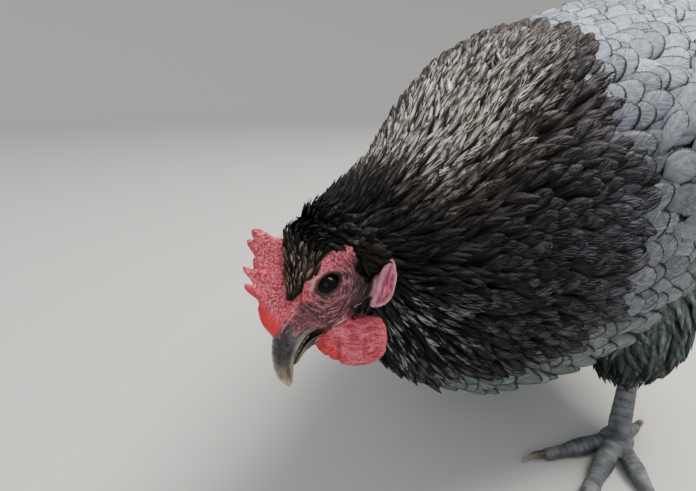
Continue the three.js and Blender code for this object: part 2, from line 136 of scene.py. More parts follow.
def turned(vector, axis, angle):
    """A vector turned about an axis: its part along the axis stays, the rest turns"""
    axis = unit(axis)
    across = np.cross(axis, vector)
    return vector * np.cos(angle) + across * np.sin(angle) + axis * (axis @ vector) * (1 - np.cos(angle))


# ---------------------------------------------------------------- the body's outline


def middle_of(node):
    """The middle of a node's box, in millimetres"""
    low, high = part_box(node)
    return (np.array(low) + np.array(high)) / 2 / MM


EYES = (middle_of("eye_left") + middle_of("eye_right")) / 2
SHIFT = EYES - EYES_FROM_MIDDLE


def head_axes():
    """The head's left, front and crown directions: rolled, then pitched, then turned"""
    axes = []
    for axis in np.array([[1.0, 0, 0], [0, -1.0, 0], [0, 0, 1.0]]):
        axis = turned(axis, np.array([0, 1.0, 0]), -HEAD_ROLL)
        axis = turned(axis, np.array([1.0, 0, 0]), HEAD_PITCH)
        axes.append(turned(axis, np.array([0, 0, 1.0]), HEAD_TURN))
    return np.array(axes)


HEAD_LEFT, HEAD_AHEAD, HEAD_UP = head_axes()


def head_place(ahead, up, left=0.0):
    """A place in the head's own frame, as a place of the model"""
    parts = [np.asarray(n, float)[..., None] for n in (ahead, up, left)]
    return EYES + parts[0] * HEAD_AHEAD + parts[1] * HEAD_UP + parts[2] * HEAD_LEFT


def in_head(points):
    """How far ahead, up and left of the middle between the eyes points lie"""
    away = points - EYES
    return away @ HEAD_AHEAD, away @ HEAD_UP, away @ HEAD_LEFT


def body_lines():
    """Tops, bottoms, left directions and widths of every section from bill to tail"""
    tops, bottoms, lefts, widths = [], [], [], []
    for ahead, rise, drop, half, belt in HEAD_LINES:
        tops.append(head_place(ahead, rise))
        bottoms.append(head_place(ahead, -drop))
        lefts.append(HEAD_LEFT)
        widths.append((half, belt, 2.0))
    for back_y, back_z, belly_y, belly_z, half, belt, sway, roll in BODY_LINES:
        top = np.array([sway, back_y, back_z], float)
        bottom = np.array([sway, belly_y, belly_z], float)
        axis = np.cross(top - bottom, [1, 0, 0])
        middle = (top + bottom) / 2
        tops.append(middle + turned(top - middle, axis, roll * HEAD_ROLL) + SHIFT)
        bottoms.append(middle + turned(bottom - middle, axis, roll * HEAD_ROLL) + SHIFT)
        lefts.append(turned(np.array([1.0, 0, 0]), axis, roll * HEAD_ROLL))
        widths.append((half, belt, FULLNESS))
    return tops, bottoms, lefts, widths


BODY = body_lines()


def body(line, angle):
    """The outline of head and trunk: at each line a flattened ring, its upper and lower
    halves each a quarter of a near-ellipse, `angle` counted from her left side up."""
    line, angle = np.broadcast_arrays(np.asarray(line, float), np.asarray(angle, float))
    top, bottom, left, width = (along(values, line) for values in BODY)
    height = np.linalg.norm(top - bottom, axis=-1, keepdims=True)
    rise = (top - bottom) / height
    half, belt, fullness = (width[..., k : k + 1] for k in range(3))
    cosine, sine = np.cos(angle)[..., None], np.sin(angle)[..., None]
    across = np.sign(cosine) * np.abs(cosine) ** (2 / fullness)
    upward = np.sign(sine) * np.abs(sine) ** (2 / fullness)
    reach = np.where(upward > 0, 1 - belt, belt) * height
    return bottom + rise * height * belt + rise * upward * reach + unit(left) * across * half


def tangents(surface, p, q, limits, out):
    """Slopes of a surface along and round it, and its outward direction"""
    small = 2e-3
    low, high = np.maximum(p - small, limits[0]), np.minimum(p + small, limits[1])
    slope_p = (surface(high, q) - surface(low, q)) / (high - low)[..., None]
    slope_q = (surface(p, q + small) - surface(p, q - small)) / (2 * small)
    return slope_p, slope_q, out * unit(np.cross(slope_p, slope_q))


def lifted(surface, p, q, lift, limits, out=1):
    """Points at `lift` above a surface, which runs on straight past its ends"""
    within = np.clip(p, *limits)
    slope_p, _, normal = tangents(surface, within, q, limits, out)
    beyond = (p - within)[..., None] * slope_p
    return surface(within, q) + beyond + normal * np.asarray(lift)[..., None]


BODY_LIMITS = (0.02, TAIL_ROOT - 0.02)


def wing(side):
    """The outline of a folded wing: a leaf on the trunk, thickest along its middle"""

    def surface(s, t):
        s, t = np.broadcast_arrays(np.asarray(s, float), np.asarray(t, float))
        line = WING_FROM + (WING_TO - WING_FROM) * s
        middle = WING_MIDDLE[0] + (WING_MIDDLE[1] - WING_MIDDLE[0]) * s
        half = WING_HALF * np.sqrt(np.sin(np.pi * (0.06 + 0.82 * np.maximum(s, 0) ** 0.75)))
        ends = np.sqrt(np.clip(1 - (2 * s - 1) ** 6, 0, None))
        depth = WING_LIFT + WING_DEPTH * ends * (1 - np.abs(t) ** 4)
        point = lifted(body, line, np.radians(middle + t * half), depth, BODY_LIMITS)
        return point * [side, 1, 1]

    return surface


def tail(side):
    """The outline of one half of the tail: s runs along the feathers and t from the
    ridge down, the lower feathers shorter, flatter and farther out"""

    def surface(s, t):
        s, t = np.broadcast_arrays(np.asarray(s, float), np.asarray(t, float))
        mix = lambda pair, share: pair[0] + (pair[1] - pair[0]) * share
        rise = np.radians(mix(TAIL_RISE, t))
        length = TAIL_LENGTH * (1 - 0.3 * t * t) * s
        y = mix((TAIL_BACK[0], TAIL_LOW[0]), t) + np.cos(rise) * length
        z = mix((TAIL_BACK[1], TAIL_LOW[1]), t) + np.sin(rise) * length
        x = mix(TAIL_SPREAD, np.sin(np.clip(t, -1, 1) * np.pi / 2) * (0.35 + 0.65 * s))
        return np.stack([side * x, y, z], -1) + SHIFT

    return surface


def thigh(name):
    """The outline of a feathered thigh: rings that shrink downwards and lean to the foot"""
    side = SIDES[name]
    middle = (FOOT_Y["left"] + FOOT_Y["right"]) / 2
    lean = FOOT_Y[name] + 22 - middle

    def surface(level, angle):
        level, angle = np.broadcast_arrays(np.asarray(level, float), np.asarray(angle, float))
        z, out, ahead, wide, deep = np.moveaxis(along(THIGH_LINES, level), -1, 0)
        forward = middle + ahead + lean * (140 - z) / 100
        x = side * out + np.cos(angle) * wide
        return np.stack([x, forward + np.sin(angle) * deep, z], -1) + SHIFT

    return surface


# ---------------------------------------------------------------- meshes and materials


def make_mesh(name, points, quads, tris=()):
    """A smooth mesh object at the origin from points in millimetres and faces of 4 and 3"""
    quads = np.asarray(quads, np.int32).reshape(-1, 4)
    tris = np.asarray(tris, np.int32).reshape(-1, 3)
    mesh = bpy.data.meshes.new(name)
    mesh.vertices.add(len(points))
    mesh.vertices.foreach_set("co", (np.asarray(points, float) * MM).ravel())
    mesh.loops.add(quads.size + tris.size)
    mesh.loops.foreach_set("vertex_index", np.concatenate([quads.ravel(), tris.ravel()]))
    starts = np.concatenate([np.arange(len(quads)) * 4, quads.size + np.arange(len(tris)) * 3])
    mesh.polygons.add(len(quads) + len(tris))
    mesh.polygons.foreach_set("loop_start", starts.astype(np.int32))
    mesh.update(calc_edges=True)
    mesh.polygons.foreach_set("use_smooth", np.ones(len(mesh.polygons), bool))
    piece = bpy.data.objects.new(name, mesh)
    bpy.context.scene.collection.objects.link(piece)
    return piece


def store(piece, name, values):
    """Keeps one number, vector or colour for each point of a piece"""
    values = np.asarray(values, np.float32)
    if values.ndim == 1:
        kind, field = "FLOAT", "value"
    else:
        kind, field = "FLOAT_VECTOR", "vector"
    attribute = piece.data.attributes.new(name, kind, "POINT")
    attribute.data.foreach_set(field, values.ravel())


def store_uv(piece, name, values):
    """Keeps a UV place for each point of a piece, copied to its corners"""
    mesh = piece.data
    corners = np.empty(len(mesh.loops), np.int32)
    mesh.loops.foreach_get("vertex_index", corners)
    layer = mesh.uv_layers.new(name=name)
    layer.uv.foreach_set("vector", np.asarray(values, np.float32)[corners].ravel())


def colour(code):
    """A linear colour from an sRGB hex value"""
    levels = np.array([int(code[k : k + 2], 16) for k in (1, 3, 5)]) / 255
    return np.where(levels <= 0.04045, levels / 12.92, ((levels + 0.055) / 1.055) ** 2.4)


def rgba(code):
    """The same with full cover, for a socket"""
    return (*colour(code), 1)


def blend(first, second, share):
    """Colours between two, one for each share. Both are rows of colours, one colour or an
    sRGB hex value."""
    first, second = (colour(part) if isinstance(part, str) else part for part in (first, second))
    return first + (second - first) * np.asarray(share)[..., None]


def add(tree, kind, inputs=None, **settings):
    """Adds one shader node. `inputs` holds, by name or number, values to set, or sockets
    and nodes to link; a node is linked by its first output."""
    node = tree.nodes.new("ShaderNode" + kind)
    for name, value in settings.items():
        setattr(node, name, value)
    for name, value in (inputs or {}).items():
        if isinstance(value, bpy.types.Node):
            value = value.outputs[0]
        if isinstance(value, bpy.types.NodeSocket):
            tree.links.new(value, node.inputs[name])
        else:
            node.inputs[name].default_value = value
    return node


def handed(piece, material, slot, *nodes):
    """A piece in its material, riding on the hen in place of the nodes it stands for"""
    piece.data.materials.append(material)
    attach(piece, "root")
    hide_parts(*nodes)
    return piece


def blank(name):
    """A new material and its emptied node tree"""
    material = bpy.data.materials.new(name)
    material.use_nodes = True
    material.node_tree.nodes.clear()
    return material, material.node_tree


def feather_material(name, slant, gloss, soften, fine, contrast, blotch):
    """Feather vane: matt keratin barbs that leave the shaft at an angle of `slant` degrees,
    `fine` to a millimetre, each lighter or darker by `contrast`, so that the vane looks
    like fine hair. `blotch` says how much the pale centre breaks into patches rather than
    streaks. Its ground, centre and rim colours come from the piece."""
    material, tree = blank(name)
    ground, centre, rim, marks, lie = (add(tree, "Attribute", attribute_name=field).outputs["Vector"]
        for field in ("ground", "centre", "rim", "marks", "lie"))
    edge_streak = add(tree, "SeparateXYZ", {0: marks})
    lay = add(tree, "SeparateXYZ", {0: lie})
    out = add(tree, "Math", {0: lay}, operation="ABSOLUTE")
    folded = add(tree, "CombineXYZ", {"X": out, "Y": lay.outputs[1], "Z": lay.outputs[2]})
    lean = np.radians(slant)
    ways = (fine * np.cos(lean), -fine * np.sin(lean), 1), (0.1 * np.sin(lean), 0.1 * np.cos(lean), 1)
    across_barb, along_barb = (add(tree, "VectorMath", {0: folded, 1: way},
        operation="DOT_PRODUCT").outputs[1] for way in ways)
    barb_place = add(tree, "CombineXYZ", {"X": across_barb, "Y": along_barb})
    barbs = add(tree, "TexNoise", {"Vector": barb_place, "Scale": 1.0, "Detail": 3.0, "Roughness": 0.65})
    patch_place = add(tree, "VectorMath", {0: lie, 1: (0.55, 0.35, 1.0)}, operation="MULTIPLY")
    patches = add(tree, "TexNoise", {"Vector": patch_place, "Scale": 1.0, "Detail": 3.0})
    shade = add(tree, "MapRange", {0: barbs, 1: 0.32, 2: 0.68, 3: 1 - contrast, 4: 1 + contrast})
    wander = add(tree, "Math", {0: barbs, 1: 1.6, 2: edge_streak}, operation="MULTIPLY_ADD")
    inner = add(tree, "MapRange", {0: wander, 1: 0.45, 2: 0.45 + soften}, interpolation_type="SMOOTHSTEP")
    mottle = add(tree, "Math", {0: patches, 1: blotch, 2: barbs}, operation="MULTIPLY_ADD")
    some_barbs = add(tree, "MapRange", {0: mottle, 1: 0.43 + blotch * 0.5, 2: 0.6 + blotch * 0.5},
        interpolation_type="SMOOTHSTEP")
    pale_barbs = add(tree, "Math", {0: edge_streak.outputs[1], 1: some_barbs}, operation="MULTIPLY")
    body_colour = add(tree, "Mix", {"Factor": pale_barbs, "A": ground, "B": centre}, data_type="VECTOR")
    laced = add(tree, "Mix", {"Factor": inner, "A": rim, "B": body_colour.outputs[1]}, data_type="VECTOR")
    shaded = add(tree, "VectorMath", {0: laced.outputs[1], "Scale": shade}, operation="SCALE")
    bump = add(tree, "Bump", {"Height": barbs, "Distance": 0.0001, "Strength": 0.7})
    vane = add(tree, "BsdfPrincipled", {"Base Color": shaded, "Roughness": 0.6, "IOR": 1.54,
        "Specular IOR Level": gloss, "Normal": bump})
    add(tree, "OutputMaterial", {"Surface": vane})
    return material


# ---------------------------------------------------------------- one vane


def outline_round(v):
    """Half width of a body feather along it: widens fast, ends in a full round tip"""
    tip = np.clip((v - 0.45) / 0.55, 0, 1)
    return np.clip(v / 0.3, 0, 1) ** 0.7 * (1 - tip**2.3) ** 0.5


def outline_lance(v):
    """Half width of a hackle: widest before its middle, ending in a long blunt point"""
    tip = np.clip((v - 0.35) / 0.65, 0, 1)
    return np.clip(v / 0.3, 0, 1) ** 0.7 * (1 - tip**1.7) ** 0.85


def outline_oval(v):
    """Half width of a small scale feather: an oval that narrows to a soft blunt tip"""
    tip = np.clip((v - 0.4) / 0.6, 0, 1)
    return np.clip(v / 0.3, 0, 1) ** 0.7 * (1 - tip**2.0) ** 0.62


def outline_quill(v):
    """Half width of a flight or tail feather: long, even, with a rounded end"""
    tip = np.clip((v - 0.78) / 0.22, 0, 1)
    return np.clip(v / 0.16, 0, 1) ** 0.6 * (1 - tip**2.2) ** 0.5


def vane_template(outline, aspect, rows, columns, sweep, fray, bare):
    """One vane in shares of its half width and of its length. Each row is a barb that
    leaves the shaft and runs forward on a slant until it meets the outline. Rows are
    close together past `bare`, the share of the length that other feathers hide, and
    every other barb there stops short by `fray`."""
    hidden = np.linspace(0.0, bare, 4, endpoint=False)
    start = np.concatenate([hidden, np.linspace(bare, 1, rows - 4)])
    reach = np.full(rows, 0.5)
    for _ in range(60):
        wanted = outline(np.clip(start + sweep * aspect * reach, 0, 1))
        reach = reach + 0.3 * (wanted - reach)
    reach[-1] = 0
    short = np.zeros(rows)
    short[5:-1:2] = fray
    reach = reach * (1 - short)
    side = np.concatenate([np.linspace(-1, -0.1, columns // 2), [0], np.linspace(0.1, 1, columns // 2)])
    across = reach[:, None] * side[None, :]
    forward = start[:, None] + sweep * aspect * np.abs(across)
    rim = np.stack([np.concatenate([reach, -reach]) * aspect, np.tile(start + sweep * aspect * reach, 2)], 1)
    places = np.stack([across * aspect, forward], -1).reshape(-1, 1, 2)
    inset = np.linalg.norm(places - rim[None], axis=-1).min(1).reshape(rows, columns)
    inset = np.minimum(inset, reach[:, None] * (1 - np.abs(side)) * aspect + 1e-6)
    return {"across": across, "forward": forward, "inset": inset, "side": side}


def vane_faces(rows, columns):
    """Faces of one vane: the ribbed top, a plain underside with one line down its middle,
    and two small ends"""
    top = np.arange(rows * columns).reshape(rows, columns)
    below = rows * columns + np.arange(rows)
    quads = [np.stack([top[:-1, :-1], top[:-1, 1:], top[1:, 1:], top[1:, :-1]], -1).reshape(-1, 4),
        np.stack([top[:-1, 0], top[1:, 0], below[1:], below[:-1]], -1),
        np.stack([below[:-1], below[1:], top[1:, -1], top[:-1, -1]], -1)]
    first = [np.stack([top[0, 1:], top[0, :-1], np.full(columns - 1, below[0])], -1)]
    last = [np.stack([top[-1, :-1], top[-1, 1:], np.full(columns - 1, below[-1])], -1)]
    return np.concatenate(quads), np.concatenate(first + last)


class Plumage:
    """Vanes laid one after another as one piece, over one surface"""

    def __init__(self, name, surface, limits, out, unwrap):
        self.name, self.base, self.unwrap = name, (surface, limits, out), unwrap
        self.points, self.quads, self.tris, self.fields = [], [], [], []
        self.count = 0

    def lay(self, p, q, look, template):
        """Lays one vane at each root. A vane's own millimetres across and along are turned
        into steps along and round the surface by the surface's slopes under its middle,
        so that it bends with the body. It rises from `depth` below the outline at its
        root to the outline at its tip, arched across and a little ribbed."""
        surface, limits, out = self.base
        length, width, depth = look["length"], look["width"], look["depth"]
        number = len(p)
        slope_p, slope_q, normal = tangents(surface, np.clip(p, *limits), q, limits, out)
        ahead = unit(slope_p)
        side = np.cross(ahead, normal)
        turn = look["turn"][:, None]
        lie = ahead * np.cos(turn) + side * np.sin(turn)
        for _ in range(2):
            shift = self.steps(lie * (length * 0.5)[:, None], slope_p, slope_q)
            middle_p = np.clip(p + shift[0], *limits)
            slope_p, slope_q, normal = tangents(surface, middle_p, q + shift[1], limits, out)
            lie = unit(lie - normal * np.sum(lie * normal, -1, keepdims=True))
        side = np.cross(lie, normal)
        rows, columns = template["across"].shape
        part, share, inset = (template[key].ravel()[None] for key in ("across", "forward", "inset"))
        across, forward = part * (width / 2)[:, None], share * length[:, None]
        bend = look["bend"][:, None] * (share**2) * length[:, None]
        move = (across + bend)[..., None] * side[:, None] + forward[..., None] * lie[:, None]
        step_p, step_q = self.steps(move, slope_p[:, None], slope_q[:, None])
        arch = look["arch"] * part**2 * width[:, None]
        ribs = np.where(np.arange(rows) % 2 == 0, 0.5, -0.5)[:, None] * np.abs(template["side"])
        ribs = ribs.ravel() * look["rib"]
        shaft = look["shaft"] * np.tile(np.abs(template["side"]) < 0.05, rows)
        rise = -depth[:, None] * np.clip(1 - share, 0, 1) ** 1.15
        curl = look["curl"][:, None] * np.clip(share - 0.6, 0, 1) ** 2 * length[:, None]
        lift = rise - arch + ribs + shaft + look["tilt"][:, None] * across + curl + look["raise"][:, None]
        place_p, place_q = p[:, None] + step_p, q[:, None] + step_q
        top = lifted(surface, place_p, place_q, lift, limits, out)
        spine = columns // 2 + columns * np.arange(rows)
        thick = look["thick"] * (0.35 + 0.65 * (template["across"].max(1) > 0.02))
        under = lifted(surface, place_p[:, spine], place_q[:, spine], lift[:, spine] - thick, limits, out)
        size = rows * (columns + 1)
        points = np.concatenate([top, under], 1)
        quads, tris = vane_faces(rows, columns)
        base = self.count + size * np.arange(number)[:, None, None]
        self.points.append(points.reshape(-1, 3))
        self.quads.append((quads[None] + base).reshape(-1, 4))
        self.tris.append((tris[None] + base).reshape(-1, 3))
        inset = inset * length[:, None] - look["lace"][:, None]
        reach = look["streak"][:, None] * width[:, None] / 2
        streak = step(1.25, 0.55, np.abs(across) / np.maximum(reach, 0.05))
        streak = streak * step(0.2, 0.45, share)
        seed = np.broadcast_to(look["seed"][:, None], across.shape)
        marks, lies = np.stack([inset, streak, seed], -1), np.stack([across, forward, seed * 57], -1)
        patch = np.stack([part, share - 0.5], -1) * 0.0014
        whole = {"marks": marks, "lie": lies, "OFBake": self.unwrap(p, q)[:, None] + patch}
        for key, value in whole.items():
            whole[key] = np.concatenate([value, value[:, spine]], 1).reshape(number * size, -1)
        for key in ("ground", "centre", "rim"):
            whole[key] = np.broadcast_to(look[key][:, None], (number, size, 3)).reshape(-1, 3)
        self.fields.append(whole)
        self.count += number * size

    @staticmethod
    def steps(move, slope_p, slope_q):
        """The steps along and round a surface that make a move across it: the move's
        shadow on the two slopes, divided by how the slopes lean on each other"""
        pp, qq = np.sum(slope_p**2, -1), np.sum(slope_q**2, -1)
        pq = np.sum(slope_p * slope_q, -1)
        mp, mq = np.sum(move * slope_p, -1), np.sum(move * slope_q, -1)
        whole = np.maximum(pp * qq - pq**2, 0.2 * pp * qq)
        return (mp * qq - mq * pq) / whole, (mq * pp - mp * pq) / whole

    def finish(self, material, slot, *nodes):
        """Makes the piece and hands it to the hen"""
        piece = make_mesh(self.name, *map(np.concatenate, (self.points, self.quads, self.tris)))
        gathered = {key: np.concatenate([f[key] for f in self.fields]) for key in self.fields[0]}
        store_uv(piece, "OFBake", gathered.pop("OFBake"))
        for key, values in gathered.items():
            store(piece, key, values)
        handed(piece, material, slot, *nodes)


def rows_of(surface, span, exposed, spacing, girth, rng, along_by, round_by):
    """Roots in rows: each row is `exposed` past the one before, measured along the left
    side, and holds as many evenly spaced roots as its own girth allows, with every other
    row shifted by half a place. Each root is then nudged a little out of its row."""
    lines, ring = np.linspace(*span, 400), np.linspace(*girth, 300)
    spine = surface(lines, np.zeros_like(lines))
    gaps = np.linalg.norm(np.diff(spine, axis=0), axis=-1)
    count = np.concatenate([[0], np.cumsum(gaps / exposed((lines[1:] + lines[:-1]) / 2))])
    at = np.interp(np.arange(0.5, count[-1]), count, lines)
    p, q = [], []
    for row, line in enumerate(at):
        points = surface(np.full_like(ring, line), ring)
        walk = np.concatenate([[0], np.cumsum(np.linalg.norm(np.diff(points, axis=0), axis=-1))])
        number = max(int(round(walk[-1] / spacing(line))), 3)
        places = (np.arange(number) + 0.25 + 0.5 * (row % 2)) / number * walk[-1]
        p.append(np.full(number, line))
        q.append(np.interp(places, walk, ring))
    p, q = np.concatenate(p), np.concatenate(q)
    return p + rng.normal(0, along_by, len(p)), q + rng.normal(0, round_by, len(q))


# ---------------------------------------------------------------- chance patterns


def scattered(cells, seed):
    """A fixed chance from 0 to 1 for each whole cell: its three numbers times large odd
    numbers, folded together"""
    cells = cells.astype(np.int64)
    mixed = cells[..., 0] * 73856093 ^ cells[..., 1] * 19349663 ^ cells[..., 2] * 83492791
    mixed = ((mixed ^ seed * 7919 ^ (mixed >> 13)) * 1274126177) & 0xFFFFFFFF
    return ((mixed ^ (mixed >> 16)) & 0xFFFF) / 65535


def noise(points, size, seed=0):
    """Smooth chance from 0 to 1: each cell corner's chance, eased between the corners"""
    scaled = points / size
    cell = np.floor(scaled)
    share = scaled - cell
    share = share * share * (3 - 2 * share)
    total = 0.0
    for corner in np.ndindex(2, 2, 2):
        corner = np.array(corner)
        weight = np.prod(np.where(corner == 1, share, 1 - share), axis=-1)
        total = total + weight * scattered(cell + corner, seed)
    return total


def spots(points, size, seed=0):
    """Distance to the nearest of many scattered places, one in each cell, in cell sizes,
    and that place's own chance"""
    scaled = points / size
    cell = np.floor(scaled)
    nearest = np.full(points.shape[:-1], 9.0)
    chance = np.zeros(points.shape[:-1])
    for near in np.ndindex(3, 3, 3):
        other = cell + np.array(near) - 1
        place = other + np.stack([scattered(other, seed + k) for k in (1, 2, 3)], -1)
        distance = np.linalg.norm(scaled - place, axis=-1)
        closer = distance < nearest
        nearest = np.where(closer, distance, nearest)
        chance = np.where(closer, scattered(other, seed + 4), chance)
    return nearest, chance


def ridges(points, size, seed=0):
    """Sharp-topped wrinkles from 0 to 1: how near smooth chance is to its middle"""
    return 1 - np.minimum(np.abs(2 * noise(points, size, seed) - 1) * 2.2, 1)


def edge_gap(ahead, up, first, second):
    """Distance in side view from the line between two places"""
    first, second = np.array(first, float), np.array(second, float)
    edge = second - first
    away = np.stack([ahead, up], -1) - first
    share = np.clip(away @ edge / (edge @ edge), 0, 1)
    return np.linalg.norm(away - share[..., None] * edge, axis=-1)


def inside(ahead, up, outline):
    """How far places in side view lie inside a closed outline, less than 0 outside it: the
    distance to its nearest side, with a sign from how often a line out crosses it"""
    nearest, odd = np.full(ahead.shape, 1e9), np.zeros(ahead.shape, bool)
    for first, second in zip(outline, outline[1:] + outline[:1]):
        nearest = np.minimum(nearest, edge_gap(ahead, up, first, second))
        rise = second[1] - first[1]
        at = first[0] + (up - first[1]) * (second[0] - first[0]) / (rise if rise else 1e-9)
        odd ^= ((first[1] > up) != (second[1] > up)) & (ahead < at)
    return np.where(odd, nearest, -nearest)


# ---------------------------------------------------------------- shapes of the skin


def tube(rings):
    """A closed solid from rings of points: its two ends are drawn to their middles"""
    rows, columns = rings.shape[:2]
    index = np.arange(rows * columns).reshape(rows, columns)
    right = np.roll(index, -1, axis=1)
    quads = np.stack([index[:-1], right[:-1], right[1:], index[1:]], -1).reshape(-1, 4)
    ends = np.full((2, columns), rows * columns) + [[0], [1]]
    tris = np.concatenate([np.stack([right[0], index[0], ends[0]], -1),
        np.stack([index[-1], right[-1], ends[1]], -1)])
    points = np.concatenate([rings.reshape(-1, 3), rings[:1].mean(1), rings[-1:].mean(1)])
    corners = points[np.concatenate([quads[:, :3], quads[:, [0, 2, 3]], tris])]
    volume = np.sum(corners[:, 0] * np.cross(corners[:, 1], corners[:, 2]))
    if volume < 0:
        quads, tris = quads[:, ::-1], tris[:, ::-1]
    return points, quads, tris


def joined(solids):
    """Points and faces of several solids, numbered on from one another"""
    points, quads, tris, count = [], [], [], 0
    for solid in solids:
        points.append(solid[0])
        quads.append(solid[1] + count)
        tris.append(solid[2] + count)
        count += len(solid[0])
    return np.concatenate(points), np.concatenate(quads), np.concatenate(tris)


def settled(piece):
    """A piece with its modifiers worked in, so that they leave nothing behind"""
    graph = bpy.context.evaluated_depsgraph_get()
    mesh = bpy.data.meshes.new_from_object(piece.evaluated_get(graph))
    piece.modifiers.clear()
    piece.data = mesh
    return piece


def fused(name, solids, voxel, smoothing):
    """Overlapping solids grown into one: filled with voxels, skinned and smoothed"""
    piece = make_mesh(name, *joined(solids))
    remesh = piece.modifiers.new("fuse", "REMESH")
    remesh.mode, remesh.voxel_size = "VOXEL", voxel * MM
    smooth = piece.modifiers.new("smooth", "SMOOTH")
    smooth.factor, smooth.iterations = 0.5, smoothing
    return settled(piece)


def united(piece, others):
    """One solid that holds a piece and the others"""
    for other in others:
        union = piece.modifiers.new("unite", "BOOLEAN")
        union.operation, union.solver, union.object = "UNION", "MANIFOLD", other
    settled(piece)
    for other in others:
        bpy.data.objects.remove(other)
    return piece


def places_of(piece):
    """A mesh's points and their normals, in millimetres"""
    vertices = piece.data.vertices
    points, normals = np.empty(len(vertices) * 3), np.empty(len(vertices) * 3)
    vertices.foreach_get("co", points)
    vertices.foreach_get("normal", normals)
    return points.reshape(-1, 3) / MM, normals.reshape(-1, 3)


# The bare face seen from her side: ahead of the eye and up
FACE_EDGE = [(30, 8), (20, 9), (15.4, 10), (13.4, 8.4), (12.2, 6.4), (8.8, 6.2), (4.5, 7.8), (-2, 8.4),
    (-9, 7.4), (-15.5, 5.6), (-22, 2.8), (-17.6, -1.4), (-11.4, -4.6), (-10.8, -8), (-12.6, -11.4),
    (-16, -14.4), (-8, -17.4), (-2.8, -18.8), (1.5, -18.6), (6, -21), (30, -24)]
# The comb's edge without its points, from the bill back
COMB_EDGE = [(28.4, 0.5), (27.3, 4.5), (26.2, 8.5), (24.4, 12.5), (22.2, 15), (20.4, 15.6), (18.6, 18),
    (15.2, 21.4), (11.6, 24), (6.6, 27), (2, 29.3), (-3.2, 28.7), (-5.5, 24.5), (-6.9, 20)]
COMB_FOOT = [(25.5, -1.5), (18, 1.5), (11, 5), (4.5, 10), (-2, 14.5), (-7.5, 17)]
# Its points: place along the edge, half width along it, tip ahead and up
COMB_POINTS = [(6.3, 0.55, 18.3, 24.4), (7.45, 0.55, 12.7, 29.5), (8.62, 0.42, 8.2, 27.9),
    (9.55, 0.54, 3.5, 34.3), (10.75, 0.66, -1.6, 35.8)]
WATTLE_EDGE = [(16.2, -10.6), (19.8, -14), (20.8, -19.5), (19.8, -25), (16.4, -30), (12.4, -33.6),
    (7.4, -35), (2.2, -33), (-1.8, -29), (-3.4, -24.6), (-0.6, -20.4), (4, -17.4), (8.6, -15), (12.6, -12.2)]
LOBE_EDGE = [(-23.6, -13.2), (-22.2, -16.4), (-19.4, -19.2), (-15.4, -21.6), (-11, -22.8), (-7, -22.2),
    (-4.2, -20), (-3.4, -17.4), (-8, -16.2), (-12.4, -14.4), (-17.6, -13)]
# Bill sections: ahead, top, edge, half width
UPPER_BILL = [(12.5, 8.6, -10.6, 8.6), (16, 7.8, -8.8, 8.2), (20, 6.9, -7.0, 7.7), (27, 3.7, -7.4, 6.6),
    (32.5, 0.2, -9.9, 5.8), (36.6, -4.0, -12.6, 5.1), (38.5, -7.0, -13.0, 4.5), (39.2, -9.2, -12.6, 3.6)]
LOWER_BILL = [(12, -10.6, -15.2, 7.2), (16, -9.2, -13.4, 6.6), (20, -7.6, -11.6, 5.9),
    (25, -7.8, -10.2, 4.6), (31, -9.2, -10.6, 2.2)]
BILL_BELT = {"upper": 0.12, "lower": 0.8}


def closed_curve(outline, turn):
    """The smooth curve once round an outline"""
    return along(outline[-2:] + outline + outline[:3], turn + 2)


def wattle_out(up):
    """How far from the middle a wattle hangs at a height"""
    return 7.0 + 0.1 * np.clip(-12 - up, 0, None)


def lobe_out(ahead):
    """How far from the middle an ear lobe hangs at a place along it"""
    return 15 + 0.05 * (-8 - ahead)


def flap(outline, out, thick, side):
    """A hanging flap of skin: rings open from the middle of its inner face to its edge and
    close on its outer face, and its thickness falls off in a round to that edge"""
    turn = np.linspace(0, len(outline), 110, endpoint=False)
    edge = closed_curve(outline, turn)
    middle = edge.mean(0)
    opening = np.linspace(0.02, np.pi - 0.02, 44)[:, None]
    flat = middle + (edge - middle)[None] * (np.sin(opening) ** 0.6)[..., None]
    depth = -np.cos(opening) * thick
    left = side * (out(flat) + depth)
    return tube(head_place(flat[..., 0], flat[..., 1], left))


def comb_solid():
    """The comb: upright rings from its foot to its edge. Each point pulls the edge to its
    tip, most at its own middle. It is a blade, thick at its foot and its front lobe."""
    line = np.linspace(0, len(COMB_EDGE) - 1, 420)
    edge = along(COMB_EDGE, line)
    bare_edge = edge.copy()
    for at, half, ahead, up in COMB_POINTS:
        pull = np.clip(1 - np.abs((line - at) / half) ** 2.6, 0, 1) ** 0.85
        edge = edge + pull[:, None] * (np.array([ahead, up]) - along(COMB_EDGE, np.array([at])))
    foot = along(COMB_FOOT, line / line[-1] * (len(COMB_FOOT) - 1))
    ring = circle(48)
    share = (1 - np.cos(ring)) / 2
    lobe = step(6.2, 3.5, line) * step(-0.5, 1.5, line)
    point = np.linalg.norm(edge - bare_edge, axis=-1)
    half = 3.9 * (1 - share)[None] ** 2.2 + (1.9 + 1.3 * lobe - 0.08 * point)[:, None]
    across = np.sign(np.sin(ring)) * np.abs(np.sin(ring)) ** 0.75 * half
    lean = 0.7 * np.sin(line * 1.3)[:, None] * share
    flat = foot[:, None] + (edge - foot)[:, None] * share[None, :, None]
    return tube(head_place(flat[..., 0], flat[..., 1], across + lean))


def bill(sections, line, angle, grow=0.0):
    """Rings of half a bill: flattened ovals, widest at the cutting edge"""
    ahead, top, edge, half = np.moveaxis(along(sections, line), -1, 0)
    height = top - edge
    belt = BILL_BELT["upper" if sections is UPPER_BILL else "lower"]
    reach = np.where(np.sin(angle) > 0, 1 - belt, belt) * height + grow
    up = edge + belt * height + np.sin(angle) * reach
    across = np.sign(np.cos(angle)) * np.abs(np.cos(angle)) ** 0.85
    return ahead, up, across * (half + grow)


